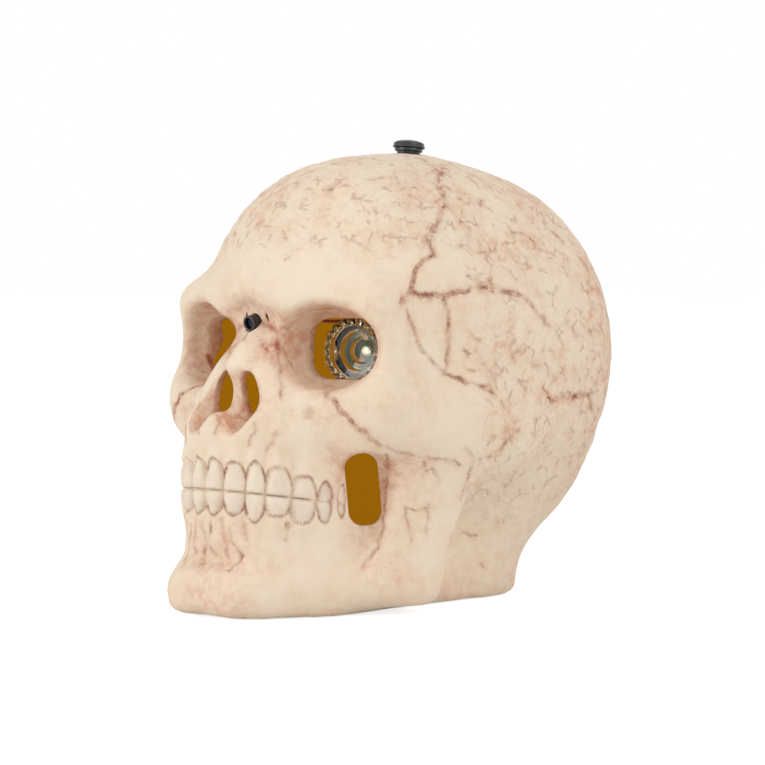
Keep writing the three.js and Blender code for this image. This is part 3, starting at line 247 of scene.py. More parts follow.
CRACKS = {
    "crown_1": ((394, 172), (397, 177), (399, 184), (402, 186), (415, 187)),
    "crown_2": ((401, 169), (415, 171), (423, 175), (430, 172)),
    "crown_3": ((410, 195), (411, 199), (409, 210)),
    "parietal_1": ((450, 244), (454, 247), (461, 244), (468, 245), (475, 252), (484, 253), (493, 250)),
    "parietal_2": ((454, 214), (461, 220), (459, 224)),
    "parietal_3": ((470, 227), (471, 234), (468, 240)),
    "parietal_4": ((480, 199), (482, 206)),
    "parietal_5": ((467, 267), (474, 269)),
    "parietal_6": ((467, 276), (479, 278), (486, 282), (493, 283)),
    "parietal_7": ((512, 231), (524, 234), (536, 241)),
    "temple_1": ((471, 334), (479, 340)),
    "temple_2": ((463, 350), (467, 355), (477, 351)),
    "temple_3": ((467, 369), (474, 372), (480, 369)),
    "back_1": ((569, 321), (574, 329), (578, 336)),
    "back_2": ((581, 256), (588, 267), (591, 279), (593, 289)),
    "ramus_1": ((404, 507), (414, 511), (426, 510), (430, 505)),
    "ramus_2": ((404, 507), (408, 522), (411, 541)),
    "ramus_3": ((427, 512), (428, 521), (426, 532)),
    "ramus_4": ((423, 463), (427, 471), (433, 468), (438, 480)),
    "neck_1": ((475, 485), (488, 495)),
    "neck_2": ((516, 470), (511, 483), (500, 494), (498, 503)),
    "neck_3": ((463, 534), (470, 536), (477, 535)),
    "neck_4": ((452, 538), (449, 545)),
    "neck_5": ((495, 520), (499, 526), (504, 522)),
    "neck_6": ((481, 563), (483, 567)),
}
CHEEK_DIMPLE = (308, 414)
BLUSHES = {
    "tooth_row_end": ((338, 464), 6.0), "bite_end": ((340, 499), 3.0), "chin": ((205, 604), 7.0),
    "chin_side": ((240, 612), 6.0), "lower_roots": ((224, 548), 5.0), "upper_roots": ((235, 425), 5.0),
    "under_arch": ((412, 466), 9.0), "ramus": ((392, 578), 10.0), "far_cheek": ((186, 408), 5.0),
    "nose_side": ((266, 350), 5.0), "orbit_middle": ((293, 345), 8.0), "orbit_top": ((335, 307), 8.0),
}

# Short cracks that cover the vault, each some strides long
STROKE_SEED = 11
STROKE_COUNT = 270
STROKE_HEIGHTS = (-0.25, 0.97)
STROKE_STEPS = (4, 12)
STROKE_STRIDE = 0.7
STROKE_HEADING = (0, 0.2, -1.0)
STROKE_SWAY = 0.55
STROKE_WANDER = 0.35
STROKE_LEAST_AGE = 0.55

# Where the skin is pebbled: the vault and the top of the brow, and not the temple
AGED_Y = (-46, -24)
AGED_Z = (22, 52)
AGED_BROW_Z = (128, 146)
BARE_TEMPLE = {"y": -52, "width": 17, "heights": (142, 124), "share": 0.85}

# Lines on the skin: depth and half-width of the groove, then strength and half-width of its paint and its halo
SUTURE = {"width": 0.62, "paint": (1.2, 0.85), "halo": (0.30, 2.6)}
SUTURE_LIP = {"height": 0.25, "away": 1.7, "width": 0.7}
CREASE = {"depth": 0.5, "width": 0.75, "paint": (0.7, 0.75), "halo": (0.2, 2.2)}
CRACK = {"depth": 0.45, "width": 0.5, "paint": (0.75, 0.55), "halo": (0.22, 2.2)}
DIMPLE = {"depth": 1.3, "width": 1.7, "paint": (0.5, 1.6)}
LINE_CUTS = ((3.0, 1.7), (2.0, 0.95), (1.0, 0.62))
WANDER = ((0.30, 0.95), (0.95, 0.50))
CUT_REACH = 4.0
PAINT_REACH = 8.0
LEAST_DEPTH = 0.003

# Paint: heights over the skin at which its hollows are felt, with the weight of each, and what the tooth rows take
CREASE_PROBES = ((1.2, 0.5), (3.0, 0.55), (7.0, 0.45))
HOLLOW_PROBES = ((10.0, 0.5), (18.0, 0.5))
INSIDE_DEPTH = -2.0
TOOTH_PAINT_Y = -66
RIM_PAINT_Y = -70
RIM = {"away": 0.35, "width": 0.55, "strength": 0.8}
BITE_LINE = {"width": 0.5, "strength": 0.35}
CHIN_RELIEF = {"share": 0.6, "heights": (34, 24), "y": (-88, -98)}
BLUSH = {"spot": 0.40, "hollow": 0.3, "socket": 0.42, "back": 0.24}
BACK_BLUSH_Y = (-10, 60)
NAPE_BLUSH = {"share": 0.8, "heights": (40, 8), "y": (-30, 0)}

# Wires: their radius, the connector on the board and how far above it they turn down
WIRE_RADIUS = 0.6
CONNECTOR_PINS = 8
CONNECTOR_WIDTH = 22.0
CONNECTOR_Y = 14.0
CONNECTOR_TOP = 19.3
WIRE_DROP = 14

# Stage: lamps, placed in metres right of, above and before the target, then the camera, the floor and the world
KEY_LAMP = {"size": 0.7, "place": (-1.2, 0.25, 0.6)}
FILL_LAMP = {"size": 0.9, "place": (0.75, 0.45, 0.85)}
TOP_LAMP = {"size": 1.0, "place": (0, 1.2, 0.1)}
SENSOR_WIDTH = 36.0
FLOOR_SIZE = 6.0
FLOOR_DROP = 0.0002
FLOOR_COLOUR = (0.82, 0.82, 0.82)
FLOOR_GLOW = (0.74, 0.74, 0.74)
SOFT_COLOUR = (1.0, 0.985, 0.965)
SOFT_STRENGTH = 0.38


class SkullShellSettings(PropertyGroup):
    """Sizes and colours of the skull's sculpted shell."""
    wall: FloatProperty(name="Wall", description="Thickness of the moulded wall, in millimetres",
                        default=3.0, min=1.0, max=6.0)
    suture_depth: FloatProperty(name="Suture depth", description="Depth of the main sutures, in millimetres",
                                default=0.9, min=0.0, max=2.0)
    pebble_height: FloatProperty(name="Pebble height", description="Height of the lumps on the vault, in millimetres",
                                 default=0.5, min=0.0, max=1.0)
    cream: FloatVectorProperty(name="Cream", description="Colour of the bare moulding", subtype="COLOR",
                               size=3, default=(0.90, 0.75, 0.575), min=0, max=1)
    pale: FloatVectorProperty(name="Pale", description="Colour of the teeth and the highest edges",
                              subtype="COLOR", size=3, default=(0.94, 0.83, 0.67), min=0, max=1)
    wash: FloatVectorProperty(name="Wash", description="Pink-brown wash left in the creases", subtype="COLOR",
                              size=3, default=(0.33, 0.105, 0.07), min=0, max=1)
    blush: FloatVectorProperty(name="Blush", description="Thin pink wash of the hollows", subtype="COLOR",
                               size=3, default=(0.70, 0.33, 0.20), min=0, max=1)
    # The inside colour is also emitted by the inside faces: painted light that stands for light coming through the
    # thin wall
    inside: FloatVectorProperty(name="Inside", description="Dark gold of the unpainted inside", subtype="COLOR",
                                size=3, default=(0.27, 0.112, 0.002), min=0, max=1)


class WorksSettings(PropertyGroup):
    """Sizes and colours of the button, the sensor, the lens, the wires and the screws."""
    turn_steps: IntProperty(name="Turn steps", description="Faces round a turned piece", default=64, min=12)
    edge: FloatProperty(name="Edge", description="Rounding of moulded edges, in millimetres",
                        default=0.22, min=0.02, max=0.6)
    black: FloatVectorProperty(name="Black", description="Black of the button and the sensor",
                               subtype="COLOR", size=3, default=(0.012, 0.011, 0.013), min=0, max=1)
    clear: FloatVectorProperty(name="Clear", description="Tint of the lens's clear plastic",
                               subtype="COLOR", size=3, default=(0.95, 0.90, 0.74), min=0, max=1)


class StageSettings(PropertyGroup):
    """Camera and light."""
    azimuth: FloatProperty(name="Azimuth", description="Camera's turn round the skull", subtype="ANGLE",
                           default=math.radians(43))
    elevation: FloatProperty(name="Elevation", description="Camera's height over the horizon",
                             subtype="ANGLE", default=math.radians(2.5))
    distance: FloatProperty(name="Distance", description="Camera's distance from its target", unit="LENGTH",
                            default=1.25)
    focal: FloatProperty(name="Focal length", description="Focal length in pixels of the photograph",
                         default=3075.0)
    key_power: FloatProperty(name="Key", description="Power of the key lamp in watts", default=7.2)
    fill_power: FloatProperty(name="Fill", description="Power of the fill lamp in watts", default=5.6)
    top_power: FloatProperty(name="Top", description="Power of the top lamp in watts", default=3.2)


class Shade:
    """A node's output that takes part in Python arithmetic, which adds Math nodes."""

    def __init__(self, nodes, socket):
        self.nodes = nodes
        self.socket = socket

    def math(self, operation, *operands):
        return self.nodes.node("ShaderNodeMath", {"operation": operation}, dict(enumerate(operands)))

    def __add__(self, other):
        return self.math("ADD", self, other)

    __radd__ = __add__

    def __sub__(self, other):
        return self.math("SUBTRACT", self, other)

    def __rsub__(self, other):
        return self.math("SUBTRACT", other, self)

    def __mul__(self, other):
        return self.math("MULTIPLY", self, other)

    __rmul__ = __mul__

    def lowest(self, other):
        return self.math("MINIMUM", self, other)

    def highest(self, other):
        return self.math("MAXIMUM", self, other)

    def ramp(self, low, high):
        """0 below low, 1 above high, and smooth between them."""
        settings = {"interpolation_type": "SMOOTHSTEP"}
        inputs = {"Value": self, "From Min": low, "From Max": high}
        return self.nodes.node("ShaderNodeMapRange", settings, inputs)


class Nodes:
    """The shader nodes of a material or a world, under construction."""

    def __init__(self, owner):
        owner.use_nodes = True
        self.tree = owner.node_tree
        self.tree.nodes.clear()

    def node(self, kind, settings=None, inputs=None, output=0):
        """Adds a node, sets its settings first and then its inputs, and returns its output if it has one."""
        made = self.tree.nodes.new(kind)
        for key, value in (settings or {}).items():
            setattr(made, key, value)
        for key, value in (inputs or {}).items():
            self.feed(made.inputs[key], value)
        return Shade(self, made.outputs[output]) if made.outputs else None

    def feed(self, socket, value):
        if isinstance(value, Shade):
            self.tree.links.new(value.socket, socket)
        elif socket.type == "RGBA":
            socket.default_value = (*value, 1.0)
        else:
            socket.default_value = value

    def seen(self):
        """1 for what the camera sees, straight or by way of clear and polished pieces."""
        straight, glossy, through = (self.node("ShaderNodeLightPath", output=f"Is {kind} Ray")
                                     for kind in ("Camera", "Glossy", "Transmission"))
        return straight.highest(glossy).highest(through)


class Finish(Nodes):
    """A procedural material under construction."""

    def __init__(self, name):
        self.material = bpy.data.materials.new(name)
        super().__init__(self.material)
        shader = self.node("ShaderNodeBsdfPrincipled")
        self.node("ShaderNodeOutputMaterial", None, {"Surface": shader})
        self.sockets = shader.socket.node.inputs
        self.place = self.node("ShaderNodeTexCoord", output="Object")

    def noise(self, scale, detail=3.0, roughness=0.5, distortion=0.0):
        inputs = {"Vector": self.place, "Scale": scale, "Detail": detail,
                  "Roughness": roughness, "Distortion": distortion}
        return self.node("ShaderNodeTexNoise", None, inputs)

    def attribute(self, name):
        return self.node("ShaderNodeAttribute", {"attribute_name": name}, output="Fac")

    def mix(self, factor, a, b):
        return self.node("ShaderNodeMix", {"data_type": "RGBA"}, {0: factor, 6: a, 7: b}, output=2)

    def warped(self, scale, amount, place=None):
        """Object coordinates pushed about by noise."""
        place = place or self.place
        push = self.node("ShaderNodeTexNoise", None, {"Vector": place, "Scale": scale}, output="Color")
        centred = self.node("ShaderNodeVectorMath", {"operation": "SUBTRACT"}, {0: push, 1: (0.5, 0.5, 0.5)})
        grown = self.node("ShaderNodeVectorMath", {"operation": "SCALE"}, {0: centred, "Scale": amount})
        return self.node("ShaderNodeVectorMath", {"operation": "ADD"}, {0: place, 1: grown})

    def bump(self, height, strength, distance):
        inputs = {"Height": height, "Strength": strength, "Distance": distance}
        self.feed(self.sockets["Normal"], self.node("ShaderNodeBump", None, inputs))

    def set(self, **sockets):
        for name, value in sockets.items():
            self.feed(self.sockets[name.replace("_", " ")], value)
        return self.material


def bone_finish(shell):
    """Cream moulding, rubbed with a pink wash that darkens in its creases, dark gold inside with a painted glow that
    stands for light coming through the wall.
    """
    f = Finish("bone_paint")
    crease, groove, inside, tooth, age, pink = (
        f.attribute(name) for name in ("crease", "groove", "inside", "tooth", "age", "blush"))
    cloud = f.noise(38, 4, 0.6)
    mottle = f.noise(240, 4, 0.65)
    speck = f.noise(900, 3, 0.65)
    pebble = f.noise(300, 3, 0.55, 0.5)
    bent = f.warped(160, 0.005, f.warped(520, 0.0016))
    web = f.node("ShaderNodeTexVoronoi", {"feature": "DISTANCE_TO_EDGE"}, {"Vector": bent, "Scale": 120})
    crack = (1 - web.ramp(0.0, 0.10)) * f.noise(150, 2, 0.5).ramp(0.50, 0.60) * age
    low = 1 - pebble.ramp(0.30, 0.55)
    smear = cloud.ramp(0.40, 0.68)
    rub = mottle.ramp(0.38, 0.66)
    blush = pink * (0.30 + 0.75 * rub) + smear * (0.06 + 0.22 * rub)
    blush = blush + low * age * (0.14 + 0.30 * smear) + crease * 0.30
    blush = (blush * (1 - 0.7 * tooth)).lowest(0.85).highest(0.0)
    stain = crease * (0.08 + 0.45 * rub) * (0.35 + speck) + groove * (0.42 + 0.9 * speck) + crack * 0.38
    stain = stain + pink * speck.ramp(0.56, 0.74) * rub * 0.45
    stain = stain.lowest(0.92).highest(0.0)
    bare = f.mix(tooth.highest(cloud.ramp(0.55, 0.30) * 0.35), tuple(shell.cream), tuple(shell.pale))
    painted = f.mix(stain, f.mix(blush, bare, tuple(shell.blush)), tuple(shell.wash))
    # Inside faces: a darker gold as their own colour, and the full gold as emission, a painted glow for light coming
    # through the wall
    colour = f.mix(inside, painted, tuple(0.4 * c for c in shell.inside))
    glow = f.mix(inside, (0, 0, 0), tuple(shell.inside))
    height = pebble * (0.15 + 0.85 * age) + speck * 0.12 + mottle * 0.3
    f.bump(height, 0.9, 0.0013)
    return f.set(Base_Color=colour, Roughness=0.50 + 0.18 * mottle, Specular_IOR_Level=0.35,
                 Emission_Color=glow, Emission_Strength=1.0)


def black_finish(works):
    """Satin black moulding with faint moulding haze."""
    f = Finish("black_moulding")
    haze = f.noise(420, 3, 0.6)
    grain = f.noise(3200, 2, 0.5)
    dark = tuple(works.black)
    colour = f.mix(haze.ramp(0.35, 0.7), dark, tuple(1.9 * c for c in dark))
    f.bump(grain, 0.08, 0.0001)
    return f.set(Base_Color=colour, Roughness=0.24 + 0.14 * haze)


def gloss_black_finish(works):
    """Polished black tube of the sensor."""
    f = Finish("black_gloss")
    haze = f.noise(900, 3, 0.6)
    dark = tuple(works.black)
    colour = f.mix(haze.ramp(0.35, 0.7), dark, tuple(1.5 * c for c in dark))
    return f.set(Base_Color=colour, Roughness=0.10 + 0.08 * haze)


def plain_finish(name, colour, shift, roughness, scale=600.0, metallic=0.0):
    """A moulded, plated or printed surface with soft colour variation and a fine grain."""
    f = Finish(name)
    cloud = f.noise(scale * 0.25, 3, 0.55)
    grain = f.noise(scale * 4, 2, 0.5)
    paler = tuple(min(1.0, c * shift) for c in colour)
    f.bump(grain, 0.10, 0.0001)
    return f.set(Base_Color=f.mix(cloud.ramp(0.3, 0.72), colour, paler),
                 Roughness=roughness + 0.14 * (cloud - 0.5) + 0.06 * grain, Metallic=metallic)


def clear_finish(works):
    """Clear moulded plastic with faint flow marks."""
    f = Finish("clear_moulding")
    flow = f.noise(260, 3, 0.5)
    f.bump(flow, 0.06, 0.0004)
    clear = tuple(works.clear)
    colour = f.mix(flow.ramp(0.3, 0.7), clear, tuple(0.94 * c for c in clear))
    return f.set(Base_Color=colour, Roughness=0.01 + 0.03 * flow, IOR=1.49, Transmission_Weight=1.0)


def board_finish():
    """Green solder mask over faint copper runs."""
    f = Finish("solder_mask")
    runs = f.node("ShaderNodeTexBrick", {"offset": 0.5}, {
        "Vector": f.place, "Scale": 380.0, "Mortar Size": 0.03,
        "Color1": (0.02, 0.10, 0.045), "Color2": (0.03, 0.13, 0.06), "Mortar": (0.06, 0.20, 0.09)})
    haze = f.noise(500, 3, 0.6)
    return f.set(Base_Color=f.mix(haze * 0.4, runs, (0.02, 0.09, 0.04)), Roughness=0.32 + 0.12 * haze)


def smooth_step(low, high, value):
    """0 at low, 1 at high, and smooth between them."""
    t = np.clip((value - low) / (high - low), 0, 1)
    return t * t * (3 - 2 * t)


def fade(away, width):
    """1 at no distance, falling off as a bell of the given half-width."""
    return np.exp(-(away / width) ** 2)


def lump(p, form):
    """Distance to an ellipsoid."""
    return round_distance(local(p, form), form["radii"])


def local(p, form):
    """Points in a form's own turned and slanted frame."""
    q = p - np.array(form["at"], float)
    yaw, pitch, roll, slant = (math.radians(form.get(turn, 0)) for turn in ("yaw", "pitch", "roll", "slant"))
    x, y, z = q[:, 0], q[:, 1], q[:, 2]
    x, y = math.cos(yaw) * x + math.sin(yaw) * y, -math.sin(yaw) * x + math.cos(yaw) * y
    y, z = math.cos(pitch) * y + math.sin(pitch) * z, -math.sin(pitch) * y + math.cos(pitch) * z
    x, z = math.cos(roll) * x - math.sin(roll) * z, math.sin(roll) * x + math.cos(roll) * z
    return np.stack((x, y / math.cos(slant), z + math.tan(slant) * y), 1)


def round_distance(q, radii):
    """Distance to an ellipsoid or an ellipse about the origin, nearly true close to it."""
    radii = np.array(radii, float)
    near = np.sqrt(((q / radii) ** 2).sum(1) + 1e-9)
    far = np.sqrt(((q / radii ** 2) ** 2).sum(1) + 1e-12)
    return near * (near - 1) / far


def strut(p, form):
    """Distance to a round bar whose radius changes from end to end."""
    a, b = np.array(form["from"], float), np.array(form["to"], float)
    along = np.clip((p - a) @ (b - a) / ((b - a) @ (b - a)), 0, 1)
    away = np.sqrt(((p - a - along[:, None] * (b - a)) ** 2).sum(1))
    return away - (form["radii"][0] + (form["radii"][1] - form["radii"][0]) * along)


def block(p, form):
    """Distance to a box with rounded edges."""
    q = np.abs(local(p, form)) - (np.array(form["half"], float) - form["round"])
    return np.sqrt((np.maximum(q, 0) ** 2).sum(1)) + np.minimum(q.max(1), 0) - form["round"]


def column(p, form):
    """Distance to an upright oval column with rounded rims."""
    q = local(p, form)
    a = round_distance(q[:, :2], form["radii"]) + form["round"]
    b = np.abs(q[:, 2]) - form["half"] + form["round"]
    rim = np.sqrt(np.maximum(a, 0) ** 2 + np.maximum(b, 0) ** 2)
    return np.minimum(np.maximum(a, b), 0) + rim - form["round"]


def join(a, b, blend):
    """Distance to two forms with a soft seam between them."""
    h = np.clip(0.5 + 0.5 * (b - a) / blend, 0, 1)
    return b + (a - b) * h - blend * h * (1 - h)


def carve(a, b, blend):
    """Distance to the first form with the second cut out of it."""
    return -join(-a, b, blend)


LEAN = math.radians(BITE_LEAN)


def arch_point(turn, rise, inset=0.0):
    """A place on the tooth arch, over the bite plane and in from the teeth's faces."""
    side, front = (ARCH_HALF_WIDTH - inset) * math.sin(turn), (ARCH_DEPTH - inset) * math.cos(turn)
    return BITE_CENTRE + np.array((side, -front * math.cos(LEAN), front * math.sin(LEAN) + rise))


def bite_rise(p):
    """Height over the bite plane."""
    q = p - BITE_CENTRE
    return q[:, 2] + math.tan(LEAN) * q[:, 1]


def gum(form):
    """A column under the tooth arch, slanted with the bite plane."""
    at = BITE_CENTRE + np.array((0, 0, form["rise"]))
    radii = (ARCH_HALF_WIDTH - GUM_INSET, ARCH_DEPTH - GUM_INSET)
    return {**form, "at": at, "radii": radii, "slant": BITE_LEAN}


def within(p, zone):
    """Which points lie in a zone."""
    low, high = zone["rise"] if "rise" in zone else zone["height"]
    height = bite_rise(p) if "rise" in zone else p[:, 2]
    return (p[:, 1] < zone["before"]) & (np.abs(p[:, 0]) < zone["aside"]) & (height > low) & (height < high)


UPPER_JAW = gum(UPPER_GUM)
LOWER_JAW = gum(LOWER_GUM)
BITE_BED = gum(BITE_FILL)

# How the clay is built up from the vault, in order: what is done, the kind of form, and if it has two sides
BUILD_UP = (
    (join, lump, False, FOREHEAD), (join, lump, False, OCCIPUT), (join, lump, False, NAPE),
    (join, column, False, NECK), (carve, lump, True, TEMPLE), (join, strut, True, BROW),
    (join, lump, False, MIDFACE), (join, strut, True, ORBIT_SIDE), (join, lump, True, CHEEKBONE),
    (join, strut, True, CHEEK_ARCH), (carve, lump, False, NASION), (join, strut, True, NOSE_BRIDGE),
    (join, strut, True, NOSE_SIDE), (join, column, False, UPPER_JAW), (join, strut, True, CHEEK_ROOT),
    (join, column, False, LOWER_JAW), (join, column, False, BITE_BED), (join, block, False, CHIN),
    (join, strut, True, JAW_BODY), (join, block, True, JAW_RAMUS), (join, block, False, JAW_FILL),
    (carve, lump, True, CHEEK_HOLLOW),
)


def mirrored(p):
    """Both sides of the skull as its left side."""
    m = p.copy()
    m[:, 0] = np.hypot(p[:, 0], 0.5)
    return m


def head_clay(p):
    """Distance to the skull's form before its sockets and teeth: negative inside."""
    m = mirrored(p)
    d = lump(p, VAULT)
    for work, kind, two_sided, form in BUILD_UP:
        d = work(d, kind(m if two_sided else p, form), form["blend"])
    lift = JAW_LIFT * smooth_step(*JAW_LIFT_X, np.abs(p[:, 0]))
    return carve(d, p[:, 2] - SKIN - lift, FOOT_BLEND)


def tooth_places():
    """Turn along the arch, width and row of every tooth on the left side."""
    turns = np.linspace(0, math.pi * 0.6, 1200)
    line = np.array([arch_point(turn, 0) for turn in turns])
    length = np.concatenate(((0,), np.cumsum(np.sqrt((np.diff(line, axis=0) ** 2).sum(1)))))
    places = []
    for row, heights in ((UPPER_TEETH, UPPER_HEIGHTS), (LOWER_TEETH, LOWER_HEIGHTS)):
        start = 0.0
        for width, height in zip(TOOTH_WIDTHS, heights):
            width *= row["scale"]
            grown = dict(row, rise=row["rise"] * height, half_height=row["half_height"] * height)
            places.append((float(np.interp(start + width / 2, length, turns)), width, grown))
            start += width
    return places


TEETH = tooth_places()


def tooth_frame(p, turn, rise, inset):
    """Along, out of and up the arch from a tooth's middle."""
    yaw = math.atan2(ARCH_DEPTH * math.sin(turn), ARCH_HALF_WIDTH * math.cos(turn))
    q = p - arch_point(turn, rise, inset)
    along = math.cos(yaw) * q[:, 0] + math.sin(yaw) * q[:, 1]
    out = -math.sin(yaw) * q[:, 0] + math.cos(yaw) * q[:, 1]
    return np.stack((along, out, q[:, 2]), 1)


def tooth_clay(p, grown=1.0):
    """Distance to the nearest tooth crown, both rows."""
    m = mirrored(p)
    rise = bite_rise(p)
    best = np.full(len(p), FAR_OFF)
    for turn, width, row in TEETH:
        q = tooth_frame(m, turn, row["rise"], TOOTH_HALF_DEPTH + (1 - grown) * 3)
        along = row["side"] * q[:, 2] / row["half_height"]
        slim = 1 - row["taper"] * np.clip(along, -0.2, 1.0)
        half = width / 2 - TOOTH_GAP
        flat = 1 + TOOTH_FLATNESS * smooth_step(0.7, -0.3, along)
        q[:, 0] = half * (np.abs(q[:, 0]) / (half * slim)) ** flat
        crown = round_distance(q, (half, TOOTH_HALF_DEPTH, row["half_height"]))
        best = np.minimum(best, carve(crown, row["side"] * rise + BITE_OVERLAP, BITE_BLEND))
    return best


def root_clay(p):
    """Distance to the ridges that the tooth roots raise under the gums."""
    m = mirrored(p)
    best = np.full(len(p), FAR_OFF)
    for turn, width, row in TEETH:
        tip = row["rise"] + row["side"] * row["half_height"]
        ridge = {"from": arch_point(turn, tip - row["side"] * ROOT_START, ROOT_INSETS[0]),
                 "to": arch_point(turn, tip + row["root"], ROOT_INSETS[1]),
                 "radii": tuple(width * swell for swell in ROOT_SWELL)}
        best = np.minimum(best, strut(m, ridge))
    return best


def pressed(m, form, sunk=1.0):
    """Distance to a round-ended plug that is pressed into the clay along its own Y as far as it is sunk."""
    q = local(m, form)
    q[:, 1] = np.maximum(q[:, 1] + (1 - sunk) * form["radii"][1] * 1.6, 0)
    return round_distance(q, form["radii"])


def skull_clay(p, teeth=1.0, sockets=1.0):
    """Distance to the finished sculpt, with its teeth and sockets worked in by degrees."""
    d = head_clay(p)
    near = np.flatnonzero(within(p, TEETH_REACH))
    if teeth and len(near):
        gums = join(d[near], root_clay(p[near]), ROOT_BLEND)
        crown = tooth_clay(p[near], teeth)
        d[near] = join(gums + GUM_GROOVE * fade(crown, GUM_GROOVE_REACH), crown, TOOTH_BLEND)
    near = np.flatnonzero(within(p, SOCKETS_REACH))
    if sockets and len(near):
        m = mirrored(p[near])
        face = carve(d[near], pressed(m, ORBIT, sockets), ORBIT["blend"])
        d[near] = carve(face, pressed(m, NOSTRIL, sockets), NOSTRIL["blend"])
    return d - SKIN


def slope(field, p, step=0.05):
    """Unit normals of a field."""
    corners = np.array(((1, -1, -1), (-1, -1, 1), (-1, 1, -1), (1, 1, 1)), float)
    total = sum(corner * field(p + corner * step)[:, None] for corner in corners)
    return total / np.maximum(np.sqrt((total ** 2).sum(1)), 1e-9)[:, None]


def settled(field, p, rounds=2, reach=1.5):
    """Points moved along the field's slope on to its surface."""
    for _ in range(rounds):
        p = p - slope(field, p) * np.clip(field(p), -reach, reach)[:, None]
    return p


def marched(field, directions, start, rounds, stride):
    """Points on the field's surface, met by marching in or out along directions from the heart."""
    r = np.full(len(directions), start)
    for _ in range(rounds):
        r = r - stride * field(SKULL_HEART + directions * r[:, None])
    return SKULL_HEART + directions * r[:, None]


def places_of(bm):
    """The points of a bmesh as rows of numbers."""
    return np.array([v.co for v in bm.verts], float)


def put_places(bm, p):
    """Moves the points of a bmesh to rows of numbers."""
    for v, co in zip(bm.verts, p):
        v.co = co


def refined(bm, wanted, field, longer):
    """Halves the longer edges whose middle the test wants, and settles the new points on the field."""
    bm.edges.ensure_lookup_table()
    ends = np.array([(e.verts[0].index, e.verts[1].index) for e in bm.edges])
    p = places_of(bm)
    a, b = p[ends[:, 0]], p[ends[:, 1]]
    chosen = wanted((a + b) / 2) & (((a - b) ** 2).sum(1) > longer ** 2)
    edges = [bm.edges[i] for i in np.flatnonzero(chosen)]
    bmesh.ops.subdivide_edges(bm, edges=edges, cuts=1, use_grid_fill=True)
    bmesh.ops.triangulate(bm, faces=[f for f in bm.faces if len(f.verts) > 3])
    bm.verts.index_update()
    q = places_of(bm)
    fresh = np.arange(len(q)) >= len(p)
    q[fresh] = settled(field, q[fresh])
    put_places(bm, q)


def evened(p, pairs, moving, field, rounds, weight=0.5):
    """Slides points along the surface towards the middle of their neighbours."""
    count = np.bincount(pairs.ravel(), minlength=len(p))[:, None]
    for _ in range(rounds):
        total = np.zeros_like(p)
        for axis in range(3):
            total[:, axis] = (np.bincount(pairs[:, 0], p[pairs[:, 1], axis], len(p))
                              + np.bincount(pairs[:, 1], p[pairs[:, 0], axis], len(p)))
        shift = (total / np.maximum(count, 1) - p)[moving]
        normal = slope(field, p[moving])
        shift -= (shift * normal).sum(1)[:, None] * normal
        p[moving] += weight * shift
    return p


def photo_axes(stage):
    """Right, up and towards the camera, as the photograph has them."""
    a, e = stage.azimuth, stage.elevation
    back = Vector((math.sin(a) * math.cos(e), -math.cos(a) * math.cos(e), math.sin(e)))
    right = Vector((math.cos(a), math.sin(a), 0))
    return right, back.cross(right), back


def photo_hits(stage, tree, pixels):
    """Where the rays through the photograph's pixels meet the sculpt, with a point for each pixel walked."""
    right, up, back = photo_axes(stage)
    eye = PHOTO_TARGET + back * stage.distance / MM
    middle = IMAGE_SIZE / 2
    hits = []
    for (u0, v0), (u1, v1) in zip(pixels, pixels[1:]):
        steps = max(1, round(math.hypot(u1 - u0, v1 - v0)))
        for i in range(steps + 1):
            u, v = u0 + (u1 - u0) * i / steps, v0 + (v1 - v0) * i / steps
            ray = right * (u - middle) - up * (v - middle) - back * stage.focal
            place = tree.ray_cast(eye, ray.normalized())[0]
            if place is not None:
                hits.append(place)
    return hits


def both_sides(lines):
    """The points of several lines and their mirror images."""
    points = [p for line in lines for p in line]
    return points + [Vector((-p.x, p.y, p.z)) for p in points]


def vault_strokes(field):
    """Points along the short cracks that cover the vault, mostly running down from the crown."""
    chance = np.random.default_rng(STROKE_SEED)
    turn = chance.uniform(0, math.tau, STROKE_COUNT)
    height = chance.uniform(*STROKE_HEIGHTS, STROKE_COUNT)
    flat = np.sqrt(1 - height ** 2)
    p = marched(field, np.stack((flat * np.cos(turn), flat * np.sin(turn), height), 1), **MARCH_IN)
    p = p[aged(p) > STROKE_LEAST_AGE]
    heading = np.array(STROKE_HEADING) + chance.normal(0, STROKE_SWAY, p.shape)
    fewest, most = STROKE_STEPS
    steps = chance.integers(fewest, most + 1, len(p))
    points = []
    for step in range(most):
        p = p[steps > step]
        heading = heading[steps > step] + chance.normal(0, STROKE_WANDER, p.shape)
        steps = steps[steps > step]
        normal = slope(field, p)
        heading -= (heading * normal).sum(1)[:, None] * normal
        heading /= np.sqrt((heading ** 2).sum(1))[:, None]
        p = settled(field, p + STROKE_STRIDE * heading, 1)
        points.extend(Vector(q) for q in p)
    return points


def aged(p):
    """How far the vault's pebbled skin has come at each point: 0 on the smooth face, 1 on the vault."""
    vault = smooth_step(*AGED_Y, p[:, 1]) * smooth_step(*AGED_Z, p[:, 2])
    brow_top = smooth_step(*AGED_BROW_Z, p[:, 2])
    temple = fade(p[:, 1] - BARE_TEMPLE["y"], BARE_TEMPLE["width"]) * smooth_step(*BARE_TEMPLE["heights"], p[:, 2])
    return np.clip(np.maximum(vault, brow_top) - BARE_TEMPLE["share"] * temple, 0, 1)


def ruffled(p, scale, amount):
    """Points pushed about by smooth noise, so that a line along them wanders."""
    return p + amount * np.array([noise.noise_vector(Vector(q) * scale) for q in p])


def lumpy(p, scale):
    """Smooth noise between about -1 and 1."""
    return np.array([noise.noise(Vector(q) * scale) for q in p])


def wandering(p):
    """Points pushed about at two scales, for the saw edge of a suture."""
    for scale, amount in WANDER:
        p = ruffled(p, scale, amount)
    return p


def unevenness(p, most):
    """How strong a line is at each point, so that it comes and goes."""
    return np.clip(0.8 + 0.9 * lumpy(p, 0.22), 0.25, most)


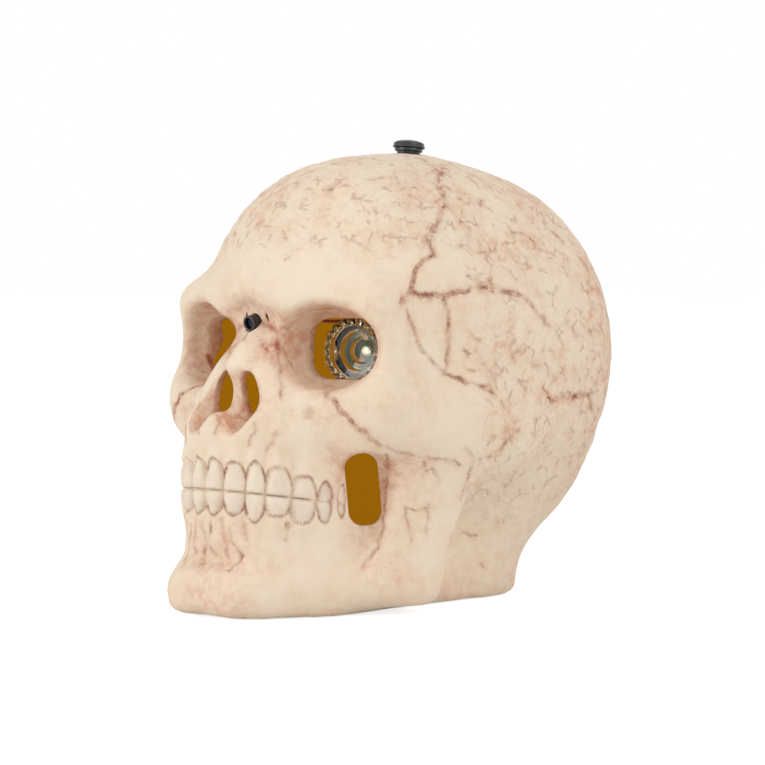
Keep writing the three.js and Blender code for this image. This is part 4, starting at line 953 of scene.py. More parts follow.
def away_from(groups, p, reach):
    """How far each point is from each group of line points, as far as the reach."""
    tree = KDTree(len(p))
    for i, place in enumerate(p):
        tree.insert(place, i)
    tree.balance()
    found = []
    for points in groups:
        away = np.full(len(p), float(reach))
        for point in points:
            for _, i, distance in tree.find_range(point, reach):
                if distance < away[i]:
                    away[i] = distance
        found.append(away)
    return found


def clay_skin(p):
    """The skin before teeth and sockets."""
    return head_clay(p) - SKIN


def round_mesh(subdivisions):
    """A fine ball and the directions of its points."""
    bm = bmesh.new()
    bmesh.ops.create_icosphere(bm, subdivisions=subdivisions, radius=1.0)
    bm.verts.index_update()
    directions = places_of(bm)
    return bm, directions / np.sqrt((directions ** 2).sum(1))[:, None]


def press_in_face(bm):
    """Grows the teeth and presses the sockets in, step by step, with the mesh kept even."""
    bm.edges.ensure_lookup_table()
    pairs = np.array([(e.verts[0].index, e.verts[1].index) for e in bm.edges])
    p = places_of(bm)
    gums = np.flatnonzero(within(p, GUM_ZONE))
    for grown in TOOTH_STEPS:
        field = partial(skull_clay, teeth=grown, sockets=0)
        p[gums] = settled(field, p[gums])
        p = evened(p, pairs, gums, field, 2, 0.3)
        p[gums] = settled(field, p[gums])
    holes = np.flatnonzero(within(p, SOCKET_ZONE))
    for sunk in SOCKET_STEPS:
        field = partial(skull_clay, teeth=1, sockets=sunk)
        p[holes] = settled(field, p[holes], 1, 3.0)
        p = evened(p, pairs, holes, field, 2)
    p[holes] = settled(skull_clay, p[holes], 3)
    put_places(bm, p)


def line_places(bm, stage):
    """Points of the sutures, creases, cracks and dimple on the sculpt, and the places of its blushes."""
    bm.normal_update()
    seen = BVHTree.FromBMesh(bm)
    lines = [both_sides(photo_hits(stage, seen, line) for line in group.values())
             for group in (SUTURES, CREASES, CRACKS)]
    lines.append(both_sides([photo_hits(stage, seen, (CHEEK_DIMPLE, CHEEK_DIMPLE))]))
    lines[2] += vault_strokes(clay_skin)
    pinks = [(place, reach) for pixel, reach in BLUSHES.values()
             for place in photo_hits(stage, seen, (pixel, pixel))[:1]]
    return lines, pinks


def relief_depth(p, lines, shell):
    """How deep the lines and the pebbled skin lie at each point."""
    sutures, creases, cracks, dimple = away_from(lines, wandering(p), CUT_REACH)
    strong = unevenness(p, 1.3)
    lip = SUTURE_LIP["height"] * fade(sutures - SUTURE_LIP["away"], SUTURE_LIP["width"])
    depth = shell.suture_depth * strong * fade(sutures, SUTURE["width"]) - lip
    depth += (CREASE["depth"] * strong * fade(creases, CREASE["width"])
              + CRACK["depth"] * strong * fade(cracks, CRACK["width"]))
    depth += DIMPLE["depth"] * fade(dimple, DIMPLE["width"])
    age = aged(p)
    pebbles = lumpy(p, 0.17) + 0.5 * age * lumpy(p, 0.36) - 0.75
    return depth - shell.pebble_height * (0.25 + 0.75 * age) * pebbles


def sculpt_outside(stage, shell):
    """The skull's outer skin with teeth, sockets, sutures and cracks, and the places of its lines and blushes."""
    bm, directions = round_mesh(OUTSIDE_SPLITS)
    put_places(bm, marched(clay_skin, directions, **MARCH_IN))
    for zone, longer in ZONE_CUTS:
        refined(bm, partial(within, zone=zone), clay_skin, longer)
    press_in_face(bm)
    lines, pinks = line_places(bm, stage)
    for reach, longer in LINE_CUTS:
        refined(bm, lambda q: np.min(away_from(lines[:3], q, CUT_REACH), axis=0) < reach, skull_clay, longer)
    p = places_of(bm)
    depth = relief_depth(p, lines, shell)
    sunk = np.flatnonzero(np.abs(depth) > LEAST_DEPTH)
    p[sunk] -= slope(skull_clay, p[sunk]) * np.maximum(depth[sunk], SKIN * 0.8)[:, None]
    low, high = (np.array(corner) / MM - np.array(SHIFT) for corner in (CAD_LOW, CAD_HIGH))
    put_places(bm, np.clip(p, low, high))
    return bm, lines, pinks


def sculpt_inside(shell):
    """The hollow of the skull, a wall's thickness under the skin and over the floor."""
    bm, directions = round_mesh(INSIDE_SPLITS)

    def hollow(p):
        d = head_clay(p) + shell.wall
        m = mirrored(p)
        for socket in (ORBIT, NOSTRIL):
            d = np.maximum(d, shell.wall - pressed(m, socket))
        return np.maximum(d, FLOOR - p[:, 2])

    put_places(bm, marched(hollow, directions, **MARCH_OUT))
    return bm


def plate(half, corner, low, high, segments=8):
    """A flat plate with rounded corners, standing along Z."""
    bm = bmesh.new()
    bmesh.ops.create_grid(bm, x_segments=1, y_segments=1, size=1.0)
    bmesh.ops.scale(bm, vec=(half[0], half[1], 1), verts=bm.verts)
    bmesh.ops.translate(bm, vec=(0, 0, low), verts=bm.verts)
    bmesh.ops.bevel(bm, geom=bm.verts[:], offset=corner, affect="VERTICES", segments=segments, profile=0.5,
                    material=-1)
    raised(bm, high - low)
    return bm


def raised(bm, height):
    """Extrudes the flat faces up into a closed solid."""
    made = bmesh.ops.extrude_face_region(bm, geom=bm.faces[:], use_keep_orig=True)
    top = [v for v in made["geom"] if isinstance(v, bmesh.types.BMVert)]
    bmesh.ops.translate(bm, vec=(0, 0, height), verts=top)
    bmesh.ops.recalc_face_normals(bm, faces=bm.faces)


def disc_solid(radius, low, high, steps=48, flat=(1, 1)):
    """A round or oval rod along Z."""
    bm = bmesh.new()
    bmesh.ops.create_circle(bm, cap_ends=True, segments=steps, radius=radius)
    bmesh.ops.scale(bm, vec=(flat[0], flat[1], 1), verts=bm.verts)
    bmesh.ops.translate(bm, vec=(0, 0, low), verts=bm.verts)
    raised(bm, high - low)
    return bm


def set_down(bm, matrix):
    """Moves a whole bmesh by a matrix."""
    bmesh.ops.transform(bm, matrix=matrix, verts=bm.verts)
    return bm


def axis_frame(at, axis):
    """Z along the axis at a point."""
    return Matrix.Translation(at) @ Vector((0, 0, 1)).rotation_difference(axis).to_matrix().to_4x4()


def hole_frame(form, side):
    """Frame of a cutter whose Z runs out through the wall."""
    at = Vector((side * form["at"][0], form["at"][1], form["at"][2]))
    turn = Matrix.Rotation(math.radians(side * form.get("yaw", 0)), 4, "Z")
    lean = Matrix.Rotation(math.radians(side * form.get("lean", 0)), 4, "Y")
    return Matrix.Translation(at) @ turn @ lean @ Matrix.Rotation(math.pi / 2, 4, "X")


def gathered(parts):
    """Several bmeshes in one."""
    whole = bmesh.new()
    for part in parts:
        mesh = bpy.data.meshes.new("part")
        part.to_mesh(mesh)
        whole.from_mesh(mesh)
        part.free()
        bpy.data.meshes.remove(mesh)
    return whole


def scratch(name, bm):
    """An object for a cut or a join, which is deleted after it."""
    mesh = bpy.data.meshes.new(name)
    bmesh.ops.recalc_face_normals(bm, faces=bm.faces)
    bm.to_mesh(mesh)
    bm.free()
    made = bpy.data.objects.new(name, mesh)
    bpy.context.scene.collection.objects.link(made)
    return made


def worked(bm, steps):
    """The solid after joins and cuts, as a new bmesh."""
    solid = scratch("solid", bm)
    tools = []
    for operation, tool_bm in steps:
        tool = scratch("tool", tool_bm)
        tools.append(tool)
        cut = solid.modifiers.new("cut", "BOOLEAN")
        cut.operation = operation
        cut.solver = "MANIFOLD"
        cut.object = tool
    bpy.context.view_layer.update()
    done = solid.evaluated_get(bpy.context.evaluated_depsgraph_get())
    result = bmesh.new()
    result.from_mesh(done.data)
    for made in (solid, *tools):
        mesh = made.data
        bpy.data.objects.remove(made)
        bpy.data.meshes.remove(mesh)
    if not result.faces:
        raise RuntimeError("a cut left nothing of the solid")
    return result


def turned(profile, steps):
    """A piece turned about Z from its radius and height points."""
    bm = bmesh.new()
    verts = [bm.verts.new((radius, 0, height)) for radius, height in profile]
    edges = [bm.edges.new(pair) for pair in zip(verts, verts[1:])]
    bmesh.ops.spin(bm, geom=verts + edges, cent=(0, 0, 0), axis=(0, 0, 1), angle=math.tau, steps=steps,
                   use_merge=True)
    bmesh.ops.remove_doubles(bm, verts=bm.verts, dist=1e-4)
    bmesh.ops.dissolve_degenerate(bm, edges=bm.edges, dist=1e-5)
    bmesh.ops.recalc_face_normals(bm, faces=bm.faces)
    return bm


def softened(bm, offset, angle=35, segments=2):
    """Rounds the edges that turn by more than the angle."""
    edges = [e for e in bm.edges if len(e.link_faces) == 2 and e.calc_face_angle() > math.radians(angle)]
    bmesh.ops.bevel(bm, geom=edges, offset=offset, affect="EDGES", segments=segments, profile=0.5, material=-1,
                    clamp_overlap=True)
    return bm


def arc(radius, height, drop, steps=8):
    """Points of a dome's edge, from its rim to its top."""
    return [(radius * math.cos(i / steps * math.pi / 2), height + drop * math.sin(i / steps * math.pi / 2))
            for i in range(steps + 1)]


def show(name, bm, body, material, slot, nodes=(), angle=40):
    """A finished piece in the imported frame: shaded smooth up to an angle, riding on a body."""
    bmesh.ops.translate(bm, vec=SHIFT, verts=bm.verts)
    bmesh.ops.scale(bm, vec=(MM, MM, MM), verts=bm.verts)
    mesh = bpy.data.meshes.new(name)
    bm.to_mesh(mesh)
    bm.free()
    mesh.polygons.foreach_set("use_smooth", [True] * len(mesh.polygons))
    mesh.set_sharp_from_angle(angle=math.radians(angle))
    mesh.materials.append(material)
    made = bpy.data.objects.new(name, mesh)
    bpy.context.scene.collection.objects.link(made)
    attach(made, body)
    if nodes:
        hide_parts(*nodes)
    return made


def rows_of(items, name):
    """A vector of each vertex or face, as rows."""
    values = np.empty(len(items) * 3)
    items.foreach_get(name, values)
    return values.reshape(-1, 3)


def shut_in(p, normal, probes):
    """How far the skin is shut in at some heights over it: 0 where it lies open."""
    here = skull_clay(p)
    total = np.zeros(len(p))
    for height, weight in probes:
        total += weight * np.clip(1 - (skull_clay(p + normal * height) - here) / height, 0, 1)
    return total


def paint_masks(made, lines, pinks):
    """Where the wash stays, what is inside, what is tooth and what has aged, as attributes of the shell."""
    mesh = made.data
    shift = np.array(SHIFT)
    p = rows_of(mesh.vertices, "co") / MM - shift
    m = mirrored(p)
    normal = rows_of(mesh.vertices, "normal")
    # Faces inside the wall, which take the dark gold and its painted glow
    inside = skull_clay(rows_of(mesh.polygons, "center") / MM - shift) < INSIDE_DEPTH
    mesh.attributes.new("inside", "FLOAT", "FACE").data.foreach_set("value", inside.astype(float))
    crown = tooth_clay(p)
    tooth = smooth_step(0.35, -0.1, crown) * (p[:, 1] < TOOTH_PAINT_Y)
    chin = smooth_step(*CHIN_RELIEF["heights"], p[:, 2]) * smooth_step(*CHIN_RELIEF["y"], p[:, 1])
    crease = smooth_step(0.12, 0.95, shut_in(p, normal, CREASE_PROBES)) * (1 - CHIN_RELIEF["share"] * chin)
    crease = crease * (1 - 0.85 * tooth)
    sutures, creases, cracks, dimple = away_from(lines, wandering(p), PAINT_REACH)
    ways = ((sutures, SUTURE), (creases, CREASE), (cracks, CRACK))
    strong = unevenness(p, 1.2)
    groove = strong * np.max([line["paint"][0] * fade(away, line["paint"][1]) for away, line in ways], axis=0)
    groove = np.maximum(groove, DIMPLE["paint"][0] * fade(dimple, DIMPLE["paint"][1]))
    rim = RIM["strength"] * fade(crown - RIM["away"], RIM["width"]) * np.clip(strong + 0.2, 0.5, 1)
    bite = BITE_LINE["strength"] * fade(bite_rise(p), BITE_LINE["width"]) * smooth_step(1.2, 0.2, crown)
    groove = np.maximum(groove, np.maximum(rim, bite) * (p[:, 1] < RIM_PAINT_Y))
    halo = sum(line["halo"][0] * fade(away, line["halo"][1]) for away, line in ways)
    wide = smooth_step(0.25, 0.9, shut_in(p, normal, HOLLOW_PROBES))
    sockets = smooth_step(2.5, 0.3, pressed(m, ORBIT)) + smooth_step(2.0, 0.3, pressed(m, NOSTRIL))
    nape = smooth_step(*NAPE_BLUSH["heights"], p[:, 2]) * smooth_step(*NAPE_BLUSH["y"], p[:, 1])
    back = smooth_step(*BACK_BLUSH_Y, p[:, 1]) + NAPE_BLUSH["share"] * nape
    blush = halo + BLUSH["hollow"] * wide + BLUSH["socket"] * sockets + BLUSH["back"] * back
    for spot, reach in pinks:
        away = np.sqrt(((m - np.array((abs(spot.x), spot.y, spot.z))) ** 2).sum(1))
        blush += BLUSH["spot"] * fade(away, reach)
    blush = np.clip(blush, 0, 1) * (1 - 0.8 * tooth)
    masks = {"crease": crease, "tooth": tooth, "groove": groove, "age": aged(p), "blush": blush}
    for name, values in masks.items():
        mesh.attributes.new(name, "FLOAT", "POINT").data.foreach_set("value", values)


def shell_bosses():
    """Round bosses in the shell for the screws of the cover and of the bracket."""
    bosses = [set_down(disc_solid(BOSS_RADIUS, FLOOR / 2, BOSS_TOP, 24), Matrix.Translation((x, y, 0)))
              for x, y in COVER_SCREWS]
    low, high = SIDE_BOSS_X
    for z in BRACKET_SCREW_Z:
        boss = disc_solid(SIDE_BOSS_RADIUS, 0, high - low, 24)
        bosses.append(set_down(boss, Matrix.Translation((low, BRACKET_SCREW_Y, z)) @ ALONG_X))
    return bosses


def shell_holes():
    """Cuts for the eyes, the cheek slots, the nose, the button, the sensor and the cover."""
    holes = []
    for side in (1, -1):
        for form in (EYE_HOLE, CHEEK_SLOT):
            cutter = plate(form["half"], form["corner"], -form["back"], form["front"])
            holes.append(set_down(cutter, hole_frame(form, side)))
        cutter = disc_solid(1, -NOSE_HOLE["back"], NOSE_HOLE["front"], 40, NOSE_HOLE["half"])
        holes.append(set_down(cutter, hole_frame(NOSE_HOLE, side)))
    holes.append(set_down(disc_solid(BUTTON_HOLE, *HOLE_SPAN), axis_frame(CROWN, BUTTON_AXIS)))
    holes.append(set_down(disc_solid(SENSOR_HOLE, *HOLE_SPAN), axis_frame(BRIDGE, SENSOR_AXIS)))
    rebate = plate([half + GAP for half in COVER_HALF], COVER_CORNER + GAP, -1, REBATE_TOP)
    holes.append(set_down(rebate, Matrix.Translation((0, COVER_Y, 0))))
    return holes


def shell_seats():
    """Cuts that leave the cover's lip, flat seats inside and pilot holes in the bosses."""
    lip = plate([half - LIP_WIDTH for half in COVER_HALF], COVER_CORNER - LIP_WIDTH, -1, FLOOR + 1)
    seats = [set_down(lip, Matrix.Translation((0, COVER_Y, 0)))]
    seats.append(set_down(disc_solid(**BUTTON_SEAT), axis_frame(CROWN, BUTTON_AXIS)))
    seats.append(set_down(disc_solid(**SENSOR_SEAT), axis_frame(BRIDGE, SENSOR_AXIS)))
    places = [Matrix.Translation((x, y, COVER_SEAT)) for x, y in COVER_SCREWS]
    places += [Matrix.Translation((BRACKET_SEAT_X, BRACKET_SCREW_Y, z)) @ ALONG_X for z in BRACKET_SCREW_Z]
    return seats + [set_down(disc_solid(**PILOT, steps=16), place) for place in places]


class SKULL_OT_shell(Operator):
    """Sculpts the hollow skull with its teeth, sockets, sutures and seats"""
    bl_idname = "skull.shell"
    bl_label = "Skull shell"

    def execute(self, context):
        shell, stage = context.scene.skull_shell, context.scene.skull_stage
        outside, lines, pinks = sculpt_outside(stage, shell)
        ground = disc_solid(GROUND, 0, GROUND, 8)
        bm = worked(outside, [("INTERSECT", ground), ("DIFFERENCE", sculpt_inside(shell)),
                              ("UNION", gathered(shell_bosses())), ("DIFFERENCE", gathered(shell_holes())),
                              ("DIFFERENCE", gathered(shell_seats()))])
        made = show("skull_bone", bm, "skull", bone_finish(shell), "bone_plastic", ("skull_shell",), 55)
        paint_masks(made, lines, pinks)
        return {"FINISHED"}


def wound_coil():
    """The button's return coil, wound about Z."""
    coil = bmesh.new()
    ring = bmesh.ops.create_circle(coil, segments=10, radius=COIL["wire"])["verts"]
    stand = Matrix.Translation((COIL["radius"], 0, COIL["low"])) @ Matrix.Rotation(math.pi / 2, 4, "X")
    bmesh.ops.transform(coil, matrix=stand, verts=ring)
    steps = COIL["turns"] * COIL["steps"]
    bmesh.ops.spin(coil, geom=coil.verts[:] + coil.edges[:], cent=(0, 0, 0), axis=(0, 0, 1),
                   dvec=(0, 0, (COIL["high"] - COIL["low"]) / steps), angle=math.tau * COIL["turns"], steps=steps)
    bmesh.ops.holes_fill(coil, edges=coil.edges)
    bmesh.ops.recalc_face_normals(coil, faces=coil.faces)
    return coil


class SKULL_OT_button(Operator):
    """Turns the push button, its body in the crown and its return coil"""
    bl_idname = "skull.button"
    bl_label = "Push button"

    def execute(self, context):
        works = context.scene.skull_works
        black = black_finish(works)
        place = axis_frame(CROWN, BUTTON_AXIS)
        cap = turned([*CAP_PROFILE, *arc(**CAP_DOME)], works.turn_steps)
        show("push_button", set_down(softened(cap, works.edge), place), "button", black, "black_plastic",
             ("button_cap",))
        body = turned(BODY_PROFILE, works.turn_steps)
        show("switch_barrel", set_down(softened(body, works.edge), place), "skull", black, "black_plastic",
             ("switch_body",))
        spring = show("return_coil", set_down(wound_coil(), place), "skull", zinc_finish(), "steel",
                      ("button_spring",))
        foot = (place @ Vector((0, 0, COIL["foot"])) + SHIFT) * MM
        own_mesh(spring)
        return {"FINISHED"}


def zinc_finish():
    """Zinc plate of the screws, the nuts, the contacts and the coil."""
    return plain_finish("zinc_plate", (0.62, 0.63, 0.64), 1.15, 0.30, 900, 1.0)


class SKULL_OT_sensor(Operator):
    """Turns the sensor's tube on the nose bridge and the capsule in it"""
    bl_idname = "skull.sensor"
    bl_label = "Sound sensor"

    def execute(self, context):
        works = context.scene.skull_works
        place = axis_frame(BRIDGE, SENSOR_AXIS)
        tube = turned(TUBE_PROFILE, works.turn_steps)
        show("sensor_barrel", set_down(softened(tube, 0.3, 35, 3), place), "skull", gloss_black_finish(works),
             "black_plastic", ("sensor_tube",))
        capsule = turned(CAPSULE_PROFILE, 40)
        show("sensor_mic", set_down(softened(capsule, 0.12), place), "skull",
             plain_finish("felt_black", (0.02, 0.02, 0.022), 2.0, 0.8, 2400), "grey_plastic", ("sensor_capsule",))
        return {"FINISHED"}


class SKULL_OT_lens(Operator):
    """Turns the stepped clear cup with its beaded rim"""
    bl_idname = "skull.lens"
    bl_label = "Lens"

    def execute(self, context):
        works = context.scene.skull_works
        place = axis_frame(LENS_AT, LENS_AXIS)
        cup = softened(turned(LENS_PROFILE, 72), 0.35, 35, 3)
        beads = []
        for i in range(BEAD["count"]):
            bead = bmesh.new()
            bmesh.ops.create_icosphere(bead, subdivisions=3, radius=BEAD["radius"])
            turn = i / BEAD["count"] * math.tau
            on_rim = (BEAD["ring"] * math.cos(turn), BEAD["ring"] * math.sin(turn), 0)
            beads.append(set_down(bead, Matrix.Translation(on_rim)))
        cup = worked(cup, [("UNION", gathered(beads[0::2])), ("UNION", gathered(beads[1::2]))])
        show("stepped_lens", set_down(cup, place), "lens_rotor", clear_finish(works), "clear_plastic", ("lens",))
        return {"FINISHED"}


def curve_through(points, per_span=14):
    """Points along the smooth curve through the given ones, spaced as the root of their distance."""
    p = [np.array(q, float) for q in points]
    p = [2 * p[0] - p[1], *p, 2 * p[-1] - p[-2]]
    line = []
    for a, b, c, d in zip(p, p[1:], p[2:], p[3:]):
        s0, s1, s2 = (max(np.sqrt(np.linalg.norm(y - x)), 1e-4) for x, y in ((a, b), (b, c), (c, d)))
        t1 = ((b - a) / s0 - (c - a) / (s0 + s1) + (c - b) / s1) * s1
        t2 = ((c - b) / s1 - (d - b) / (s1 + s2) + (d - c) / s2) * s1
        for i in range(per_span):
            t = i / per_span
            line.append(b + t1 * t + (3 * (c - b) - 2 * t1 - t2) * t ** 2 + (2 * (b - c) + t1 + t2) * t ** 3)
    return [*line, p[-2]]


def wire_routes():
    """Points of each wire, from its device to the connector."""
    crown, bridge = axis_frame(CROWN, BUTTON_AXIS), axis_frame(BRIDGE, SENSOR_AXIS)
    projector = axis_frame(LENS_AT, LENS_AXIS)
    routes = {
        "switch_wire_red": (5, [crown @ Vector((2, 0, -17.6)), (5, 6, 140), (9, 16, 90)]),
        "switch_wire_black": (4, [crown @ Vector((-2, 0, -17.6)), (-3, 8, 140), (2, 20, 90)]),
        "sensor_wire_red": (7, [bridge @ Vector((0.8, 0, -5.4)), bridge @ Vector((0.8, 0, -9)), (3, -75.5, 113),
                                (8, -71, 113.5), (15, -65, 111.5), (21, -59, 112), (24, -47, 117), (22, -20, 116),
                                (15, 10, 70)]),
        "sensor_wire_black": (6, [bridge @ Vector((-0.8, 0, -5.4)), bridge @ Vector((-0.8, 0, -9)),
                                  (1.5, -75, 114.5), (7, -69, 115.5), (14, -62.5, 113.5), (19, -56.5, 114),
                                  (21, -44, 120), (17, -18, 119), (11, 6, 80)]),
        "motor_wire_red": (2, [projector @ Vector((0, 3, -49.9)), projector @ Vector((0, 3, -55.6)), (6, 2, 84),
                               (-5, 12, 55)]),
        "motor_wire_black": (1, [projector @ Vector((0, -3, -49.9)), projector @ Vector((0, -3, -55.6)),
                                 (2, -2, 80), (-8, 8, 52)]),
        "battery_wire_red": (0, [(-14.8, -5.8, 15.8), (-14.8, -0.8, 15.8), (-14, 6, 26), (-11, 12, 36)]),
        "battery_wire_black": (3, [(14.8, -58.2, 15.8), (14.8, -63.2, 15.8), (14, -58.2, 26.9),
                                   (10, -32, 27.9), (4, -2, 32.9)]),
    }
    for name, (pin, points) in routes.items():
        x = (pin - (CONNECTOR_PINS - 1) / 2) * CONNECTOR_WIDTH / CONNECTOR_PINS
        yield name, [*points, (x, CONNECTOR_Y, CONNECTOR_TOP + WIRE_DROP), (x, CONNECTOR_Y, CONNECTOR_TOP + GAP)]


class SKULL_OT_wires(Operator):
    """Draws the insulated wires from the button, the sensor, the motor and the cells to the board"""
    bl_idname = "skull.wires"
    bl_label = "Wires"

    def execute(self, context):
        red = plain_finish("wire_red", (0.20, 0.018, 0.014), 1.35, 0.38, 1200)
        black = plain_finish("wire_black", (0.012, 0.011, 0.011), 1.8, 0.38, 1200)
        for name, points in wire_routes():
            curve = bpy.data.curves.new(name, "CURVE")
            curve.dimensions = "3D"
            line = curve_through(points)
            spline = curve.splines.new("POLY")
            spline.points.add(len(line) - 1)
            for point, place in zip(spline.points, line):
                point.co = (*place, 1)
            curve.bevel_depth = WIRE_RADIUS
            curve.bevel_resolution = 3
            curve.use_fill_caps = True
            drawn = bpy.data.objects.new(name, curve)
            bpy.context.scene.collection.objects.link(drawn)
            bpy.context.view_layer.update()
            bm = bmesh.new()
            bm.from_mesh(bpy.data.meshes.new_from_object(drawn))
            bpy.data.objects.remove(drawn)
            colour = name.rsplit("_", 1)[1]
            show("lead_" + name, bm, "skull", red if colour == "red" else black, "wire_" + colour, (name,), 60)
        return {"FINISHED"}


class SKULL_OT_screws(Operator):
    """Turns the small screws with their cross recesses"""
    bl_idname = "skull.screws"
    bl_label = "Screws"

    def execute(self, context):
        zinc = zinc_finish()
        over = Matrix.Rotation(math.pi, 4, "X")
        spots = [(f"base_screw_{i + 1}", "skull", Matrix.Translation((x, y, COVER_SEAT)))
                 for i, (x, y) in enumerate(COVER_SCREWS)]
        low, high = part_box("battery_door_screw")
        middle = (Vector(low) + Vector(high)) / 2 / MM - SHIFT
        spots.append(("battery_door_screw", "door", Matrix.Translation((middle.x, middle.y, COVER_SEAT))))
        for i, z in enumerate(BRACKET_SCREW_Z):
            place = Matrix.Translation((BRACKET_SEAT_X, BRACKET_SCREW_Y, z)) @ ALONG_X
            spots.append((f"bracket_screw_{i + 1}", "skull", place))
        for i, (x, y) in enumerate(BOARD_SCREWS):
            spots.append((f"board_screw_{i + 1}", "skull", Matrix.Translation((x, y, BOARD_SEAT)) @ over))
        for node, body, place in spots:
            cuts = [("DIFFERENCE", plate(half, RECESS["corner"], RECESS["low"], RECESS["high"], 2))
                    for half in RECESS["halves"]]
            screw = worked(turned(SCREW_PROFILE, 32), cuts)
            show("cross_" + node, set_down(screw, place), body, zinc, "steel", (node,))
        return {"FINISHED"}


class SKULL_OT_inner_works(Operator):
    """Finishes the works that stay as they were packed"""
    bl_idname = "skull.inner_works"
    bl_label = "Inner works"

    def execute(self, context):
        works = context.scene.skull_works
        black = black_finish(works)
        grey = plain_finish("grey_moulding", (0.07, 0.066, 0.062), 1.4, 0.45, 700)
        white = plain_finish("white_moulding", (0.78, 0.74, 0.64), 1.06, 0.42, 700)
        mask = board_finish()
        amber = plain_finish("amber_resin", (0.83, 0.52, 0.14), 1.12, 0.14, 700)
        jacket = plain_finish("cell_sleeve", (0.045, 0.068, 0.09), 1.5, 0.30, 350, 0.35)
        can = plain_finish("motor_can", (0.55, 0.56, 0.57), 1.15, 0.34, 500, 1.0)
        brass = plain_finish("terminal_brass", (0.62, 0.42, 0.12), 1.2, 0.30, 900, 1.0)
        zinc = zinc_finish()
        finishes = {
            "base_cover": black, "battery_door": black, "projector_bracket": black, "control_chip": black,
            "board_capacitor": grey, "switch_plug": grey, "wire_connector": white,
            "control_board": mask, "led_board": mask, "led_1": amber, "led_2": amber, "led_3": amber,
            "battery_1": jacket, "battery_2": jacket, "battery_3": jacket, "gear_motor": can,
            "switch_terminal_1": brass, "switch_terminal_2": brass, "switch_nut": zinc, "sensor_nut": zinc,
            "lens_spindle": zinc, "contact_rear_single": zinc, "contact_rear_bridge": zinc,
            "contact_front_bridge": zinc, "contact_front_single": zinc,
        }
        for name, material in finishes.items():
            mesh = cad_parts[name].data
            mesh.materials.clear()
            mesh.materials.append(material)
        for name in ("base_cover", "battery_door", "projector_bracket", "wire_connector"):
            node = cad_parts[name]
            node.modifiers.new("weld", "WELD").merge_threshold = 1e-6
            edge = node.modifiers.new("edge", "BEVEL")
            edge.width = works.edge * MM
            edge.segments = 2
            edge.limit_method = "ANGLE"
            edge.angle_limit = math.radians(40)
        return {"FINISHED"}


class SKULL_OT_stage(Operator):
    """Lays the floor and sets the lamps, the world and the photograph's camera"""
    bl_idname = "skull.stage"
    bl_label = "Stage"

    def execute(self, context):
        stage, scene = context.scene.skull_stage, context.scene
        right, up, back = photo_axes(stage)
        target = (PHOTO_TARGET + SHIFT) * MM
        lens = bpy.data.cameras.new("photo_camera")
        lens.sensor_width = SENSOR_WIDTH
        lens.lens = stage.focal / IMAGE_SIZE * lens.sensor_width
        lens.clip_end = 20
        camera = bpy.data.objects.new("photo_camera", lens)
        turn = Matrix((right, up, back)).transposed().to_4x4()
        camera.matrix_world = Matrix.Translation(target + back * stage.distance) @ turn
        scene.collection.objects.link(camera)
        scene.camera = camera
        for name, power, form in (("key_lamp", stage.key_power, KEY_LAMP), ("fill_lamp", stage.fill_power, FILL_LAMP),
                                  ("top_lamp", stage.top_power, TOP_LAMP)):
            light = bpy.data.lights.new(name, "AREA")
            light.energy = power
            light.size = form["size"]
            aside, rise, near = form["place"]
            place = right * aside + up * rise + back * near
            lamp = bpy.data.objects.new(name, light)
            lamp.location = target + place
            lamp.rotation_euler = place.to_track_quat("Z", "Y").to_euler()
            scene.collection.objects.link(lamp)
        bm = bmesh.new()
        bmesh.ops.create_grid(bm, x_segments=1, y_segments=1, size=FLOOR_SIZE)
        mesh = bpy.data.meshes.new("floor")
        bm.to_mesh(mesh)
        bm.free()
        floor = bpy.data.objects.new("floor", mesh)
        floor.location.z = -FLOOR_DROP
        scene.collection.objects.link(floor)
        mesh.materials.append(floor_finish())
        light_world(scene)
        scene.view_settings.view_transform = "Standard"
        return {"FINISHED"}


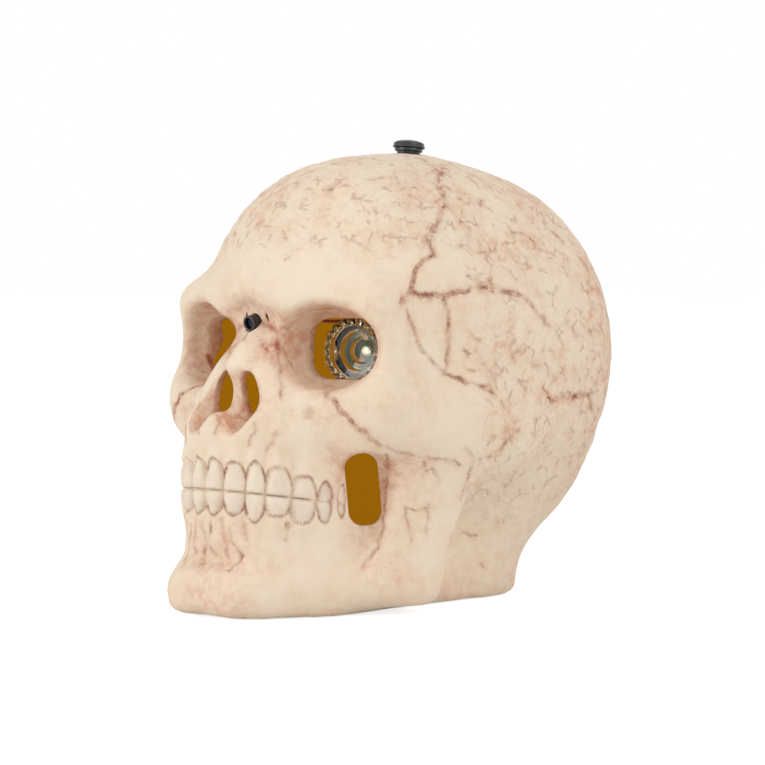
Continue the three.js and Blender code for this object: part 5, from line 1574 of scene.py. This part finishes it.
def floor_finish():
    """Pale floor that reads as white to the camera and still takes the shadow."""
    f = Finish("pale_floor")
    glow = f.mix(f.seen(), (0, 0, 0), FLOOR_GLOW)
    return f.set(Base_Color=FLOOR_COLOUR, Roughness=0.9, Specular_IOR_Level=0.0,
                 Emission_Color=glow, Emission_Strength=1.0)


def light_world(scene):
    """White to the camera and soft on the object."""
    scene.world = bpy.data.worlds.new("studio")
    nodes = Nodes(scene.world)
    soft = nodes.node("ShaderNodeBackground", None, {"Color": SOFT_COLOUR, "Strength": SOFT_STRENGTH})
    white = nodes.node("ShaderNodeBackground", None, {"Color": (1, 1, 1), "Strength": 1.0})
    shown = nodes.node("ShaderNodeMixShader", None, {0: nodes.seen(), 1: soft, 2: white})
    nodes.node("ShaderNodeOutputWorld", None, {"Surface": shown})


class SKULL_PT_looks(Panel):
    """The skull's sizes, colours and steps"""
    bl_idname = "SKULL_PT_looks"
    bl_label = "Skull"
    bl_space_type = "VIEW_3D"
    bl_region_type = "UI"
    bl_category = "Skull"

    def draw(self, context):
        for group in (context.scene.skull_shell, context.scene.skull_works, context.scene.skull_stage):
            box = self.layout.box()
            for name in group.__annotations__:
                box.prop(group, name)
        for step in STEPS:
            self.layout.operator(step.bl_idname)


GROUPS = {"skull_shell": SkullShellSettings, "skull_works": WorksSettings, "skull_stage": StageSettings}
STEPS = (SKULL_OT_stage, SKULL_OT_shell, SKULL_OT_button, SKULL_OT_sensor, SKULL_OT_lens, SKULL_OT_wires,
         SKULL_OT_screws, SKULL_OT_inner_works)


def register():
    """Adds the settings, the steps and the panel to Blender."""
    for kind in (*GROUPS.values(), *STEPS, SKULL_PT_looks):
        bpy.utils.register_class(kind)
    for name, kind in GROUPS.items():
        setattr(bpy.types.Scene, name, PointerProperty(type=kind))


def unregister():
    """Takes the settings, the steps and the panel away again."""
    for name in GROUPS:
        delattr(bpy.types.Scene, name)
    for kind in (SKULL_PT_looks, *reversed(STEPS), *GROUPS.values()):
        bpy.utils.unregister_class(kind)


def main():
    """Runs every step."""
    register()
    for step in STEPS:
        group, name = step.bl_idname.split(".")
        getattr(getattr(bpy.ops, group), name)()


if __name__ == "__main__":
    main()
